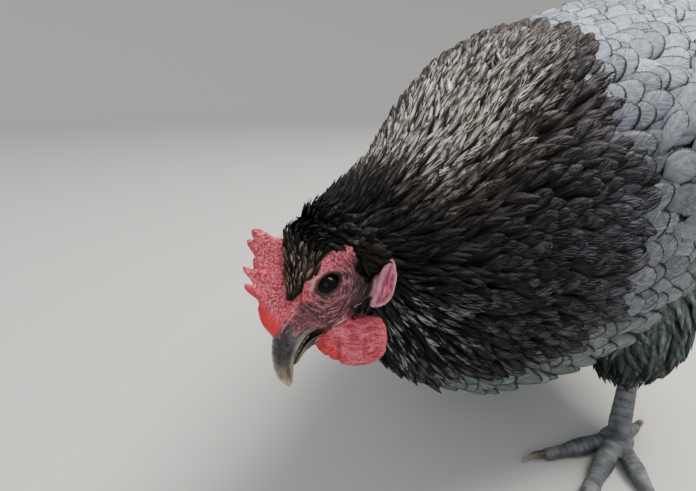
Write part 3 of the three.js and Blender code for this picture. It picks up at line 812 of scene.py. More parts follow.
def bill_sheath(sections, front):
    """Skin over the base of a bill: how far forward it runs, in sections, changes from its
    underside, past its cutting edge and side, to its ridge"""
    angle = circle(96)
    share = np.linspace(0, 1, 36)[:, None]
    reach = np.interp(np.sin(angle), [-1, -0.3, 0.08, 0.2, 0.5, 1], front)
    ring = np.broadcast_to(angle, (36, 96))
    return tube(head_place(*bill(sections, share * reach, ring, 0.75 - 0.3 * share)))


def ball(middle, radii):
    """An egg: rings of a sphere stretched to three radii in the head's frame"""
    up = np.linspace(0.05, np.pi - 0.05, 24)[:, None]
    turn = circle(32)
    parts = np.sin(up) * np.cos(turn), np.cos(up) + 0 * turn, np.sin(up) * np.sin(turn)
    return tube(head_place(*(m + r * part for m, r, part in zip(middle, radii, parts))))


def coat_depth(line):
    """How deep the coat lies over the skin: nothing on the face, most on the breast"""
    return np.interp(line, [0, 3.0, 3.6, 4.4, 6, 8, 15, 17], [0.0, 0.6, 2.0, 3.5, 6.0, 8.5, 8.5, 5.0])


HEAD_ENDS, TRUNK_STARTS = 5.2, 4.4  # the head's skin runs on a little into the trunk's
SKIN_LIMITS = (0.01, TAIL_ROOT)


def head_solids():
    """The head and its folds, which are fused afterwards"""
    line, angle = grid(np.linspace(0.02, HEAD_ENDS, 200), circle(144))
    base = lifted(body, line, angle, -coat_depth(line), SKIN_LIMITS)
    ahead, up, _ = in_head(base)
    bare = inside(ahead, up, FACE_EDGE)
    sink = 1.1 * step(0.5, -2.5, bare) * step(3.6, 3.0, line)
    solids = [tube(base - sink[..., None] * tangents(body, line, angle, SKIN_LIMITS, 1)[2])]
    solids.append(comb_solid())
    solids.append(bill_sheath(UPPER_BILL, (0.1, 0.4, 1.05, 2.2, 2.95, 3.05)))
    solids.append(bill_sheath(LOWER_BILL, (2.1, 1.9, 1.5, 1.2, 0.75, 0.45)))
    solids.append(ball((9.5, -9.5, 0), (9, 8, 7.5)))
    for side in SIDES.values():
        solids.append(flap(WATTLE_EDGE, lambda flat: wattle_out(flat[..., 1]), 2.3, side))
        solids.append(ball((8.0, -13.0, side * 6.6), (8.5, 4.0, 2.2)))
        solids.append(flap(LOBE_EDGE, lambda flat: lobe_out(flat[..., 0]), 2.0, side))
        solids.append(ball((-12.5, -15.6, side * 11.0), (6.5, 3.0, 4.0)))
    return solids


def trunk_solid():
    """The plucked trunk, inside the coat"""
    line, angle = grid(np.linspace(TRUNK_STARTS, TAIL_ROOT - 0.05, 110), circle(72))
    return tube(lifted(body, line, angle, -coat_depth(line), BODY_LIMITS))


def thigh_solid(name):
    """A plucked thigh, a little inside its down"""
    level, angle = grid(np.linspace(0, len(THIGH_LINES) - 1, 30), circle(48))
    points = thigh(name)(level, angle)
    middle = points.mean(1, keepdims=True)
    return tube(middle + (points - middle) * [0.78, 0.78, 1])


# ---------------------------------------------------------------- legs and feet

TOES = {"inner": (-38, 46, 4.7, 12), "middle": (0, 60, 5.2, 14), "outer": (36, 48, 4.7, 12),
    "hind": (168, 25, 4.2, 11)}
LEGS_FROM = -90  # the legs lie behind this, the head and breast ahead of it
SHANK_RADIUS = 6.0
SHANK_PLATE, TOE_PLATE = 4.6, 3.3  # how long one plate of their scales is


def turned_rows(points, angle):
    """Rows of places turned about the upright axis"""
    x, y, z = np.moveaxis(points, -1, 0)
    return np.stack([x * np.cos(angle) - y * np.sin(angle), x * np.sin(angle) + y * np.cos(angle), z], -1)


def on_foot(name, points):
    """Rows of places about the foot's middle, as places of the model"""
    side = SIDES[name]
    moved = turned_rows(np.asarray(points, float), np.radians(side * FOOT_TURN))
    return moved + np.array([side * FOOT_SIDE, FOOT_Y[name], 0.0]) + SHIFT * [1, 1, 0]


def rod(axis, radii, rows, columns):
    """Rings square to a smooth axis, their radius smooth between the given ones and
    rounded off at both ends"""
    line = np.linspace(0, len(axis) - 1, rows)
    middle = along(axis, line)
    radius = along(np.asarray(radii, float)[:, None], line)[:, 0]
    close = np.clip(np.minimum(line, line[-1] - line) / 0.16, 0, 1)
    radius = radius * np.sqrt(np.clip(1 - (1 - close) ** 2, 0.02, 1))
    ahead = unit(np.gradient(middle, axis=0))
    side = unit(np.cross(ahead, [0.02, 0.01, 1.0]))
    up = np.cross(side, ahead)
    turn = circle(columns)[None, :, None]
    ring = side[:, None] * np.cos(turn) + up[:, None] * np.sin(turn)
    return middle[:, None] + ring * radius[:, None, None]


def toe_axis(name, toe):
    """The middle line of a toe from the foot's middle outwards, and its radii"""
    turn, length, thick, _ = TOES[toe]
    out = np.radians(turn * SIDES[name])
    far = np.array([0, 0.35, 0.7, 1.0]) * length
    high = [thick + 2.5, thick + 0.6, 0.86 * thick - 0.5, 0.7 * thick - 0.4]
    axis = np.stack([np.sin(out) * far, -np.cos(out) * far, high], -1)
    return axis, thick * np.array([1, 0.98, 0.84, 0.66])


def shank_axis(side):
    """The middle line of a shank, from the foot up to the hock"""
    return np.array([[0, 2.0, 9], [-side * 2.0, 19.5, 33], [-side * 4.0, 36, 56]])


def leg_solids(name):
    """One scaly leg: shank, hock, pad and toes, the toes knuckled at their joints"""
    side = SIDES[name]
    shank = shank_axis(side)
    hock = shank[-1]
    shank = np.vstack([shank, hock + [side * 1.0, -16, 18]])
    solids = [tube(on_foot(name, rod(shank, [6.3, 5.5, 7.2, 11.0], 60, 32)))]
    knee = rod([hock + [0, 4, -5], hock + [0, 1, 0], hock + [0, -3, 6]], [6.8, 8.0, 7.4], 24, 32)
    solids.append(tube(on_foot(name, knee)))
    up = np.linspace(0.04, np.pi - 0.04, 20)[:, None]
    turn = circle(40)
    pad = np.stack([9.3 * np.sin(up) * np.cos(turn), 9.3 * np.sin(up) * np.sin(turn),
        5.9 + 6.4 * np.cos(up) + 0 * turn], -1)
    solids.append(tube(on_foot(name, pad)))
    for toe in TOES:
        axis, radii = toe_axis(name, toe)
        rings = rod(axis, radii, 54, 28)
        share = np.linspace(0, 1, 54)
        bulge = 1 + 0.1 * np.cos(share * np.pi * (5 if toe == "middle" else 4)) * step(0.1, 0.3, share)
        middle = rings.mean(1, keepdims=True)
        rings = middle + (rings - middle) * bulge[:, None, None]
        rings[..., 2] = np.maximum(rings[..., 2], 0.15)
        solids.append(tube(on_foot(name, rings)))
    return solids


# ---------------------------------------------------------------- folds and skin colours

EYE_OUT, EYE_RADIUS = 9.7, 6.2
LID_LONG, LID_HIGH = 4.6, 2.95
LID_REACH = 4.6  # how far out on the ball the lids start to leave it
LID_MIDDLE, LID_LEAN = (-0.5, 0.7), np.radians(14)
NOSTRIL_MIDDLE, NOSTRIL_LEAN = (23.8, 0.9), np.radians(-14)
MOUTH_LINE = (17.0, -8.6), (12.4, -11.0)
WATTLE_FOLD = (15.8, -17.8), (21.0, -21.6)


def about(ahead, up, middle, lean):
    """A place seen from the side, along and across a leaning line through a middle"""
    x, y = ahead - middle[0], up - middle[1]
    return x * np.cos(lean) + y * np.sin(lean), -x * np.sin(lean) + y * np.cos(lean)


def lid_place(ahead, up):
    """A place about the middle of the opening of an eye, in shares of the opening along
    and across it, and how far out it lies: 1 on the edge of the lids"""
    long, high = about(ahead, up, LID_MIDDLE, LID_LEAN)
    long, high = long / LID_LONG, high / LID_HIGH
    return long, high, np.hypot(long, high)


def zones(points):
    """Which part of the head each place belongs to, as shares from 0 to 1"""
    ahead, up, left = in_head(points)
    side = np.abs(left)
    here = step(-27, -22, ahead) * step(48, 44, np.linalg.norm(points - EYES, axis=-1))
    crown = np.interp(ahead, [-11, 1, 11, 19, 28], [24.5, 18.0, 10.0, 5.0, 3.4])
    comb = here * step(-0.4, 1.0, up - crown + 0.02 * side**2) * step(7.5, 6.0, side)
    wattle = here * step(-1.6, -0.4, inside(ahead, up, WATTLE_EDGE)) * step(-7.5, -9.5, up + 0.12 * ahead)
    wattle = wattle * step(4.3, 3.2, np.abs(side - wattle_out(up)))
    lobe = here * step(-1.5, -0.4, inside(ahead, up, LOBE_EDGE)) * step(12.2, 13.4, side)
    bare = here * step(-0.6, 0.8, inside(ahead, up, FACE_EDGE))
    return {"here": here, "comb": comb, "wattle": wattle * (1 - lobe), "lobe": lobe, "bare": bare}


def smooth_max(first, second, width):
    """The larger of two, rounded over where they meet"""
    return (first + second + np.hypot(first - second, width)) / 2


def fold_skin(points, normals):
    """Moves the head's skin into its folds: lids, sockets, nostrils, the corner of the
    mouth, grains on the comb and brow, and wrinkles on cheek, lobes and wattles. Returns
    the moved points and the relief from 0 in the pits to 1 on the tops."""
    zone = zones(points)
    ahead, up, left = in_head(points)
    side, sign = np.abs(left), np.sign(left)
    local = np.stack([ahead, up, left], -1)
    flesh = zone["comb"] + zone["wattle"] + zone["lobe"]
    face = zone["bare"] * (1 - np.clip(flesh, 0, 1))
    warp = np.stack([noise(local, 1.3, seed) for seed in (1, 2, 6)], -1)
    grain, _ = spots(local * [1, 1, 0.8] + 0.9 * warp, 0.9, 3)
    dome = np.clip(1 - (grain / 0.7) ** 2, 0, 1)
    eye_gap = np.hypot(ahead / 1.15, up)
    turn = np.arctan2(up, ahead)
    to_bill = step(11, 16, ahead)
    flow = eye_gap + 1.3 * noise(local, 3.5, 5)
    flow = flow + to_bill * (up * 1.0 - flow)
    run = turn * 2.2 + to_bill * (ahead * 0.25 - turn * 2.2)
    wrinkled = np.stack([run, flow, 0 * left], -1)
    wrinkle = 0.6 * ridges(wrinkled, 1.0, 7) + 0.4 * ridges(wrinkled * [1.7, 1, 1], 0.62, 8)
    wrinkle = np.clip(wrinkle + 0.5 * (noise(local, 0.9, 18) - 0.5), 0, 1)
    # wrinkles of a wattle lie level in the pose: across the line that points down in it
    across = 0.81 * ahead - 0.59 * up + 1.5 * noise(local, 5.0, 9)
    level = 0.59 * ahead + 0.81 * up
    hung = np.stack([level * 0.24, across, left * 0.2], -1)
    crease = 0.55 * ridges(hung, 1.25, 10) + 0.45 * ridges(hung * [1.3, 1, 1], 0.8, 11)
    down = 0.35 * ahead + 0.94 * up
    length = -0.94 * ahead + 0.35 * up
    streaked = np.stack([length * 0.12, down + 0.7 * noise(local, 4.0, 12), 0 * left], -1)
    streak = 0.5 * ridges(streaked, 0.9, 13) + 0.5 * ridges(streaked * [1.4, 1, 1], 0.55, 19)
    upper = step(1.0, 4.0, up - 0.12 * ahead) * step(7, 4, ahead)
    rough = zone["comb"] * step(26, 19.5, ahead + 0.25 * up)
    grains = face * upper
    cheek = face * (1 - upper) * step(26, 22, ahead)
    flow_lines = np.where((zone["wattle"] > 0.5)[:, None], hung * [2.2, 1.5, 1.6],
        np.where((zone["lobe"] > 0.5)[:, None], streaked * 1.6,
        np.where((cheek > 0.35)[:, None], wrinkled * [0.6, 0.95, 1], local * 1.1)))
    relief = ((rough + grains) * dome + cheek * wrinkle + zone["wattle"] * crease + zone["lobe"] * streak
        + (1 - np.clip(rough + grains + cheek + zone["wattle"] + zone["lobe"], 0, 1)) * 0.5)
    rise = ((0.34 * rough + 0.36 * grains) * (dome - 0.3) + 0.42 * cheek * (wrinkle - 0.45)
        + zone["wattle"] * (0.26 * (crease - 0.4) + 0.9 * (noise(local, 7.0, 14) - 0.5))
        + zone["lobe"] * (0.2 * (streak - 0.4) + 0.3 * (noise(local, 5.0, 15) - 0.5))
        + zone["comb"] * 0.8 * (noise(local, 4.5, 16) - 0.5) + face * 0.7 * (noise(local, 6.0, 17) - 0.5))
    away = edge_gap(ahead, up, *MOUTH_LINE)
    mouth = step(1.5, 0.2, away) * zone["here"] * (side < 12)
    nose_ahead, nose_up = about(ahead, up, NOSTRIL_MIDDLE, NOSTRIL_LEAN)
    flap_here = step(1.05, 0.75, np.hypot((nose_ahead - 0.2) / 2.5, (nose_up - 0.45) / 0.95))
    nostril = step(1.1, 0.85, np.hypot(nose_ahead / 3.4, nose_up / 1.7)) * step(2.0, 3.0, side)
    nostril = nostril * (1 - flap_here)
    cover = flap_here * step(1.5, 3, side)
    hollow = step(9, 3, np.hypot(ahead - 12, (up - 0.5) * 1.2)) * (zone["comb"] < 0.5)
    fold = step(1.5, 0.0, edge_gap(ahead, up, *WATTLE_FOLD)) * zone["wattle"]
    rise = rise - 0.8 * mouth - 2.1 * nostril - 0.4 * cover - 0.8 * hollow * face - 0.7 * fold
    moved = points + normals * rise[:, None] * zone["here"][:, None]
    # lids: the skin dives behind the ball inside the opening and rolls up around it
    _, high, opening = lid_place(ahead, up)
    gap = np.hypot(ahead, up)
    cap = np.minimum(gap, LID_REACH)
    slope = LID_REACH / np.sqrt(EYE_RADIUS**2 - LID_REACH**2)
    surface = EYE_OUT + np.sqrt(EYE_RADIUS**2 - cap**2) - slope * (gap - cap)
    near = step(11, 9, gap) * (side > 7)
    now = np.abs((moved - EYES) @ HEAD_LEFT)
    roll = 0.8 * step(0.96, 1.1, opening) * step(1.45, 1.15, opening)
    roll = roll - 0.5 * step(1.2, 1.42, opening) * step(1.8, 1.5, opening)
    roll = roll * (1.0 + 0.3 * np.clip(high, -0.6, 1))
    lid = np.maximum(smooth_max(now, surface + 0.2, 0.3) + roll, surface + 0.2)
    pit = surface - 1.5
    target = np.where(opening < 1, pit + (lid - pit) * step(0.9, 1.0, opening), lid)
    moved = moved + (near * (target - now) * sign)[:, None] * HEAD_LEFT
    marks = {"mouth": mouth, "nostril": nostril, "cover": cover, "fold": fold, "flow": flow_lines}
    return moved, np.clip(relief, 0, 1), marks


def painted(tone, *layers):
    """A tone with layers over it, each a colour and the share of it that shows"""
    for layer, share in layers:
        tone = blend(tone, layer, share)
    return tone


def skin_colours(points, relief, marks):
    """The skin's colours by zone, darker in the pits and paler on the tops of its relief, partly
    its own colour and partly painted shade and painted highlight, and how much blood shows
    through"""
    zone = zones(points)
    ahead, up, left = in_head(points)
    side = np.abs(left)
    local = np.stack([ahead, up, left], -1)
    patch, fine = noise(local, 3.0, 21), noise(local, 0.8, 22)
    line, angle = body_place(points)
    # every tone below is paler on the tops of the skin's relief and darker in its pits: partly the skin's
    # own colour, partly painted highlight and painted shade
    # bare face: red above the eye, dusky below it, blackish towards the ear
    red = painted("#b03045", ("#fa909f", relief**1.2), ("#5a1520", 0.45 * step(0.3, 0.0, relief)))
    dusk = painted("#2c0f15", ("#b0606c", relief**1.3), ("#7a3039", 0.25 * patch))
    upper = step(-1.0, 3.5, up - 0.12 * ahead + 2.5 * (patch - 0.5))
    rear = step(-2.5, -9.5, ahead + 0.35 * (up + 6) + 2.5 * (patch - 0.5)) * step(-1.0, -5.0, up)
    jaw = step(-9, -15, up + 0.25 * ahead + 2 * (patch - 0.5)) * step(6, -2, ahead)
    long, high, opening = lid_place(ahead, up)
    ring = step(1.42, 1.24, opening + 0.14 * (patch - 0.5)) * (side > 8)
    above = step(0.1, 0.7, high / np.maximum(opening, 0.1))
    # painted highlight: a pale band on the fold of skin above the eye's opening
    lid_fold_highlight = step(0.24, 0.0, np.abs(opening - 1.52)) * above * (side > 8)
    face = painted(dusk, (red, upper), ("#8e474f", 0.5 * step(7, 15, ahead) * step(2, -4, up)),
        (blend("#1d1315", "#6a4448", relief**2), 0.85 * rear), ("#1d1315", 0.75 * jaw),
        ("#1b1413", 0.92 * ring), ("#dfb4b4", 0.75 * lid_fold_highlight * step(-1.2, 0.0, long)),
        ("#6d474b", 0.6 * step(18, 21, ahead)))
    smooth = step(20.5, 25, ahead + 0.22 * up)
    comb = painted("#c2243c", ("#ff8c9e", 0.8 * relief**1.2),
        ("#d00a14", 0.9 * smooth * (0.75 + 0.25 * fine)),
        ("#8f0d18", 0.65 * step(0.4, 0.75, patch) * (1 - relief)))
    thin = step(15.0, 18.5, ahead + 0.25 * (up + 18)) * step(-26, -22, up)
    wattle = painted("#941a30", ("#dc6a7a", 0.85 * relief**1.2), ("#c81420", 0.7 * thin))
    rim = step(2.2, 0.4, inside(ahead, up, LOBE_EDGE))
    lobe = painted("#74203c", ("#cf7790", 0.9 * relief**1.2), ("#e0a3ae", 0.5 * rim))
    low = step(78, 66, points[:, 2]) * (points[:, 1] > LEGS_FROM)
    tone = painted(SMOKE * 0.7, (CAPE_DARK, step(0.2, -0.2, line - cape_edge(angle))), (face, zone["bare"]),
        (comb, zone["comb"]), (wattle, zone["wattle"]), (lobe, zone["lobe"]),
        ("#3f4039", 0.85 * marks["cover"] * (1 - marks["nostril"])),
        # painted shade: the nostril's pit and the corner of the mouth are near black
        ("#0b0708", 0.97 * np.clip(marks["nostril"] + 0.8 * marks["mouth"], 0, 1)),
        # painted shade: a darker red line in the wattle's fold
        ("#6b0a12", 0.5 * marks["fold"]), (leg_colours(points), low))
    tone = tone * (0.82 + 0.36 * fine)[:, None]
    flesh = zone["comb"] + zone["wattle"] + zone["lobe"]
    blood = np.clip(flesh + 0.4 * zone["bare"], 0, 1)
    broad = 0.35 + 0.9 * step(0.3, 0.7, noise(local, 6.5, 23))
    naked = zone["bare"] * (1 - np.clip(flesh, 0, 1)) * (1 - ring)
    rough = 0.85 * zone["comb"] * (1 - smooth) * broad + 0.7 * naked * upper * broad
    rough = rough + 0.45 * zone["wattle"] + 0.35 * zone["lobe"]
    rough = rough + 0.85 * naked * (1 - upper) * (1 - 0.6 * np.clip(rear + jaw, 0, 1))
    return np.clip(tone, 0, 1), blood, np.clip(rough, 0, 1), low


def body_place(points):
    """The line and angle of the body's outline nearest to each place, found on a coarse net
    of it"""
    line, angle = grid(np.linspace(0, TAIL_ROOT, 90), np.linspace(-np.pi, np.pi, 72))
    net = body(line, angle).reshape(-1, 3)
    squares, found = np.sum(net**2, -1), np.empty(len(points), int)
    batch = 4000
    for start in range(0, len(points), batch):
        part = points[start : start + batch]
        found[start : start + batch] = np.argmin(squares - 2 * part @ net.T, axis=1)
    return line.ravel()[found], angle.ravel()[found]


def leg_colours(points):
    """Slate scales on shank and toes, horn-pale on the soles"""
    shade = noise(points, 4.0, 31)
    tone = blend("#4d5157", "#8a8d8d", shade)
    return blend(tone, "#a59c8c", 0.6 * step(3.0, 0.5, points[:, 2]))


def scale_legs(points, normals):
    """Scutes on shanks and toes: plates across the front and the tops, each thickest at
    its lower edge, and small round scales elsewhere"""
    rise = np.zeros(len(points))
    low = step(72, 64, points[:, 2]) * (points[:, 1] > LEGS_FROM)
    pebble, _ = spots(points, 2.2, 41)
    small = np.clip(1 - pebble * 1.5, 0, 1)
    for name, side in SIDES.items():
        here = (points[:, 0] * side > 0) & (low > 0.01)
        local = turned_rows(points - SHIFT * [1, 1, 0] - [side * FOOT_SIDE, FOOT_Y[name], 0],
            -np.radians(side * FOOT_TURN))
        best = np.full(len(points), 99.0)
        plate = np.zeros(len(points))
        axes = {"shank": (shank_axis(side), SHANK_RADIUS, SHANK_PLATE)}
        for toe in TOES:
            axis, radii = toe_axis(name, toe)
            axes[toe] = (axis, radii[0], TOE_PLATE)
        for key, (axis, radius, pitch) in axes.items():
            fine = along(axis, np.linspace(0, len(axis) - 1, 60))
            walk = np.concatenate([[0], np.cumsum(np.linalg.norm(np.diff(fine, axis=0), axis=-1))])
            gaps = np.linalg.norm(local[:, None] - fine[None], axis=-1)
            nearest = np.argmin(gaps, axis=1)
            gap = gaps[np.arange(len(points)), nearest] / radius
            around = local - fine[nearest]
            if key == "shank":
                front = step(0.1, 0.55, -around[:, 1] / radius)
            else:
                front = step(0.05, 0.5, around[:, 2] / radius)
            place = walk[nearest] / pitch
            phase = place - np.floor(place)
            scute = (phase * 0.45 + 0.25) * step(0.0, 0.16, phase) * step(1.0, 0.9, phase)
            value = front * scute * 1.15 + (1 - front) * 0.35 * small
            closer = gap < best
            plate = np.where(closer, value, plate)
            best = np.minimum(best, gap)
        rise = np.where(here, plate, rise)
    flat = step(0.8, 2.2, points[:, 2])
    return points + normals * (0.75 * (rise - 0.2) * low * flat)[:, None], rise


def skin_material():
    """Bare and feathered skin: moist, finely pored, with blood close under it on comb,
    wattles and lobes, and horny where it turns to scales"""
    material, tree = blank("skin_and_scales")
    tone, marks, flow = (add(tree, "Attribute", attribute_name=field).outputs["Vector"]
        for field in ("tone", "flesh", "flow"))
    parts = add(tree, "SeparateXYZ", {0: marks})
    where = add(tree, "TexCoord").outputs["Object"]
    pores = add(tree, "TexNoise", {"Vector": where, "Scale": 2600.0, "Detail": 3.0, "Roughness": 0.6})
    grain = add(tree, "TexVoronoi", {"Vector": where, "Scale": 1500.0})
    shade = add(tree, "MapRange", {0: pores, 1: 0.3, 2: 0.7, 3: 0.78, 4: 1.22})
    dark = add(tree, "VectorMath", {0: tone, "Scale": shade}, operation="SCALE")
    # the speckle that also raises the bump pales the grains and darkens the pits between them: partly the
    # skin's own flecks, partly painted highlight and painted shade
    speckle = add(tree, "TexNoise", {"Vector": flow, "Scale": 1.7, "Detail": 3.0, "Roughness": 0.65})
    grains = add(tree, "MapRange", {0: speckle, 1: 0.5, 2: 0.68, 3: 0.0, 4: 0.72},
        interpolation_type="SMOOTHSTEP")
    pits = add(tree, "MapRange", {0: speckle, 1: 0.52, 2: 0.38, 3: 0.0, 4: 0.85},
        interpolation_type="SMOOTHSTEP")
    pale, deep = (add(tree, "Math", {0: kind, 1: parts.outputs[2]}, operation="MULTIPLY")
        for kind in (grains, pits))
    lighter = add(tree, "VectorMath", {0: dark, 1: (0.5, 0.5, 0.5), 2: (0.44, 0.3, 0.32)},
        operation="MULTIPLY_ADD")
    darker = add(tree, "VectorMath", {0: dark, 1: (0.34, 0.2, 0.2)}, operation="MULTIPLY")
    lined = add(tree, "Mix", {"Factor": deep, "A": dark, "B": darker}, data_type="VECTOR")
    shaded = add(tree, "Mix", {"Factor": pale, "A": lined.outputs[1], "B": lighter}, data_type="VECTOR")
    rough = add(tree, "MapRange", {0: parts, 1: 0.0, 2: 1.0, 3: 0.62, 4: 0.42})
    height = add(tree, "Math", {0: grain, 1: -0.5, 2: speckle}, operation="MULTIPLY_ADD")
    bump = add(tree, "Bump", {"Height": height, "Distance": 0.0002, "Strength": 0.6})
    through = add(tree, "Math", {0: parts, 1: 0.35}, operation="MULTIPLY")
    skin = add(tree, "BsdfPrincipled", {"Base Color": shaded.outputs[1], "Roughness": rough, "IOR": 1.42,
        "Subsurface Weight": through, "Subsurface Radius": (1.0, 0.28, 0.2), "Subsurface Scale": 0.0018,
        "Normal": bump})
    add(tree, "OutputMaterial", {"Surface": skin})
    return material


HEAD_VOXEL, LEG_VOXEL = 0.51, 1.0  # the finest that keeps the skin light enough


def make_skin():
    """One skin for all the flesh: the head is fused from its folds, the legs from their
    toes, both are joined to the trunk, and then the whole is folded, scaled and coloured"""
    head = fused("skin", head_solids(), HEAD_VOXEL, 3)
    legs = [fused(name + "_leg", leg_solids(name), LEG_VOXEL, 4) for name in SIDES]
    thighs = [make_mesh(name + "_thigh", *thigh_solid(name)) for name in SIDES]
    trunk = make_mesh("trunk", *trunk_solid())
    skin = united(trunk, [*thighs, *legs, head])
    skin.name = skin.data.name = "skin"
    points, normals = places_of(skin)
    points, relief, marks = fold_skin(points, normals)
    points, scutes = scale_legs(points, normals)
    points[:, 2] = np.maximum(points[:, 2], 0)
    skin.data.vertices.foreach_set("co", (points * MM).ravel())
    skin.data.update()
    tone, blood, grain, low = skin_colours(points, relief, marks)
    store(skin, "tone", tone * (1 - low * 0.35 * (1 - np.clip(scutes * 1.6, 0, 1)))[:, None])
    store(skin, "flesh", np.stack([blood, relief, grain], -1))
    store(skin, "flow", marks["flow"])
    skin.data.polygons.foreach_set("use_smooth", np.ones(len(skin.data.polygons), bool))
    skin.data.materials.clear()
    flesh = ["head", "comb", "neck", "breast", "back", "belly", "saddle", "rump"]
    for name in SIDES:
        flesh += [f"{part}_{name}" for part in ("wattle", "earlobe", "thigh", "shank", "hock", "foot_pad")]
        flesh += [f"toe_{toe}_{name}" for toe in TOES]
    handed(skin, skin_material(), "face_skin", *flesh)


# ---------------------------------------------------------------- eyes, bill and claws


def plain_piece(name, solids, material, slot, *nodes):
    """A smooth piece from solids, handed to the hen"""
    return handed(make_mesh(name, *joined(solids)), material, slot, *nodes)


def eye_material():
    """Wet eye: black pupil in a dark brown iris under a clear, polished cornea"""
    material, tree = blank("wet_eye")
    tone = add(tree, "Attribute", attribute_name="tone").outputs["Vector"]
    eye = add(tree, "BsdfPrincipled", {"Base Color": tone, "Roughness": 0.35, "IOR": 1.36,
        "Specular IOR Level": 0.1, "Coat Weight": 0.3, "Coat Roughness": 0.03, "Coat IOR": 1.36})
    add(tree, "OutputMaterial", {"Surface": eye})
    return material


def make_eyes(material):
    """Balls whose rings run about the line of sight: pupil, streaked iris, dark rim"""
    for name, side in SIDES.items():
        rows, columns = 64, 72
        down = np.linspace(0.01, np.pi - 0.01, rows)[:, None]
        turn = circle(columns)
        bulge = 1 + 0.05 * np.clip(1 - (down / 0.62) ** 2, 0, 1)
        ahead = EYE_RADIUS * np.sin(down) * np.cos(turn) * bulge
        up = EYE_RADIUS * np.sin(down) * np.sin(turn) * bulge
        left = side * (EYE_OUT + EYE_RADIUS * np.cos(down) * bulge) + 0 * turn
        solid = tube(head_place(ahead, up, left))
        piece = plain_piece(f"eyeball_{name}", [solid], material, "eye", f"eye_{name}")
        wheel = [0 * down + np.cos(turn) * 9, 0 * down + np.sin(turn) * 9, down * 6 + 0 * turn]
        rays = noise(np.stack(wheel, -1), 1.0)
        radius = np.broadcast_to(np.sin(down) * EYE_RADIUS, rays.shape)
        tone = painted("#0a0504", ("#1c0e09", rays.ravel() ** 1.5),
            ("#020202", step(2.9, 2.5, radius.ravel())), ("#060404", step(3.4, 4.0, radius.ravel())))
        store(piece, "tone", np.concatenate([tone, np.full((2, 3), 0.001)]))


def horn_material():
    """Horn of bill and claws: slate over pale horn, with fine growth streaks and a
    waxy polish"""
    material, tree = blank("polished_horn")
    tone, grain = (add(tree, "Attribute", attribute_name=field).outputs["Vector"]
        for field in ("tone", "grain"))
    streaks = add(tree, "TexNoise", {"Vector": grain, "Scale": 1.0, "Detail": 3.0, "Roughness": 0.6})
    shade = add(tree, "MapRange", {0: streaks, 1: 0.3, 2: 0.7, 3: 0.5, 4: 1.5})
    shaded = add(tree, "VectorMath", {0: tone, "Scale": shade}, operation="SCALE")
    rough = add(tree, "MapRange", {0: streaks, 1: 0.3, 2: 0.7, 3: 0.2, 4: 0.36})
    bump = add(tree, "Bump", {"Height": streaks, "Distance": 0.00015, "Strength": 0.5})
    horn = add(tree, "BsdfPrincipled", {"Base Color": shaded, "Roughness": rough, "IOR": 1.55,
        "Subsurface Weight": 0.08, "Subsurface Radius": (0.6, 0.45, 0.3), "Subsurface Scale": 0.001,
        "Normal": bump})
    add(tree, "OutputMaterial", {"Surface": horn})
    return material


def make_bill(material):
    """Upper and lower bill: ringed ovals that narrow to a hooked, blunt tip, with a sharp
    cutting edge that stands a little proud"""
    for name, sections, node in (("bill_upper", UPPER_BILL, "upper_beak"),
            ("bill_lower", LOWER_BILL, "lower_beak")):
        rows, columns = 120, 96
        line = np.linspace(0, len(sections) - 1, rows)[:, None]
        angle = circle(columns)
        rings = np.broadcast_arrays(line, angle)
        ahead, up, across = bill(sections, *rings)
        wear = 0.12 * (noise(np.stack([ahead * 0.5, up, across], -1), 2.0, 51) - 0.5)
        sine = np.sin(rings[1])
        lip = step(0.3, 0.03, np.abs(sine))
        across = across * (1 + wear + 0.06 * lip) * (0.88 + 0.12 * np.maximum(lip, step(1.6, 3.0, rings[0])))
        growth = 0.08 * np.sin(ahead * 3.1 + 2 * noise(np.stack([ahead, up, across], -1), 3.0, 52))
        up = up + growth * sine
        tip = np.clip((rings[0] - (len(sections) - 1.35)) / 0.35, 0, 1)
        close = np.sqrt(1 - 0.98 * tip**2)
        middle = up.mean(1, keepdims=True)
        up, across = middle + (up - middle) * close, across * close
        piece = plain_piece(name, [tube(head_place(ahead, up, across))], material, "horn", node)
        share = (rings[0] / (len(sections) - 1)).ravel()
        sine, flat = sine.ravel(), np.stack([ahead, up, across], -1).reshape(-1, 3)
        patch = noise(flat, 3.5, 53)
        upper = node == "upper_beak"
        edge = step(0.2, 0.04, np.abs(sine)) * (0.5 + 0.5 * patch)
        rim = blend("#9a8c7e", "#5d4444", step(0.38, 0.12, share))
        worn = step(0.56, 0.9, share + 0.16 * (patch - 0.5))
        # painted highlight: bluish grey along the ridge, where the bill faces the sky
        tone = painted("#211e22", ("#41464f", step(0.6, 1, sine)),
            ("#3a2e29", 0.85 * step(0.35, 0.7, patch)),
            (blend("#6a5d45", "#b9a984", patch), worn * (0.9 if upper else 0.5)),
            # painted shade: the underside of the upper bill, over the lower bill, near black
            (rim, (0.85 if upper else 0.5) * edge), ("#151112", 0.85 * step(-0.2, -0.5, sine) * upper))
        ends = np.stack([tone[:columns].mean(0), tone[-columns:].mean(0)])
        store(piece, "tone", np.concatenate([tone, ends]))
        grain = np.stack([(ahead - 0.4 * up) * 0.25, rings[1] * 6.0, across * 0.4], -1).reshape(-1, 3)
        store(piece, "grain", np.concatenate([grain, grain[:1], grain[-1:]]))


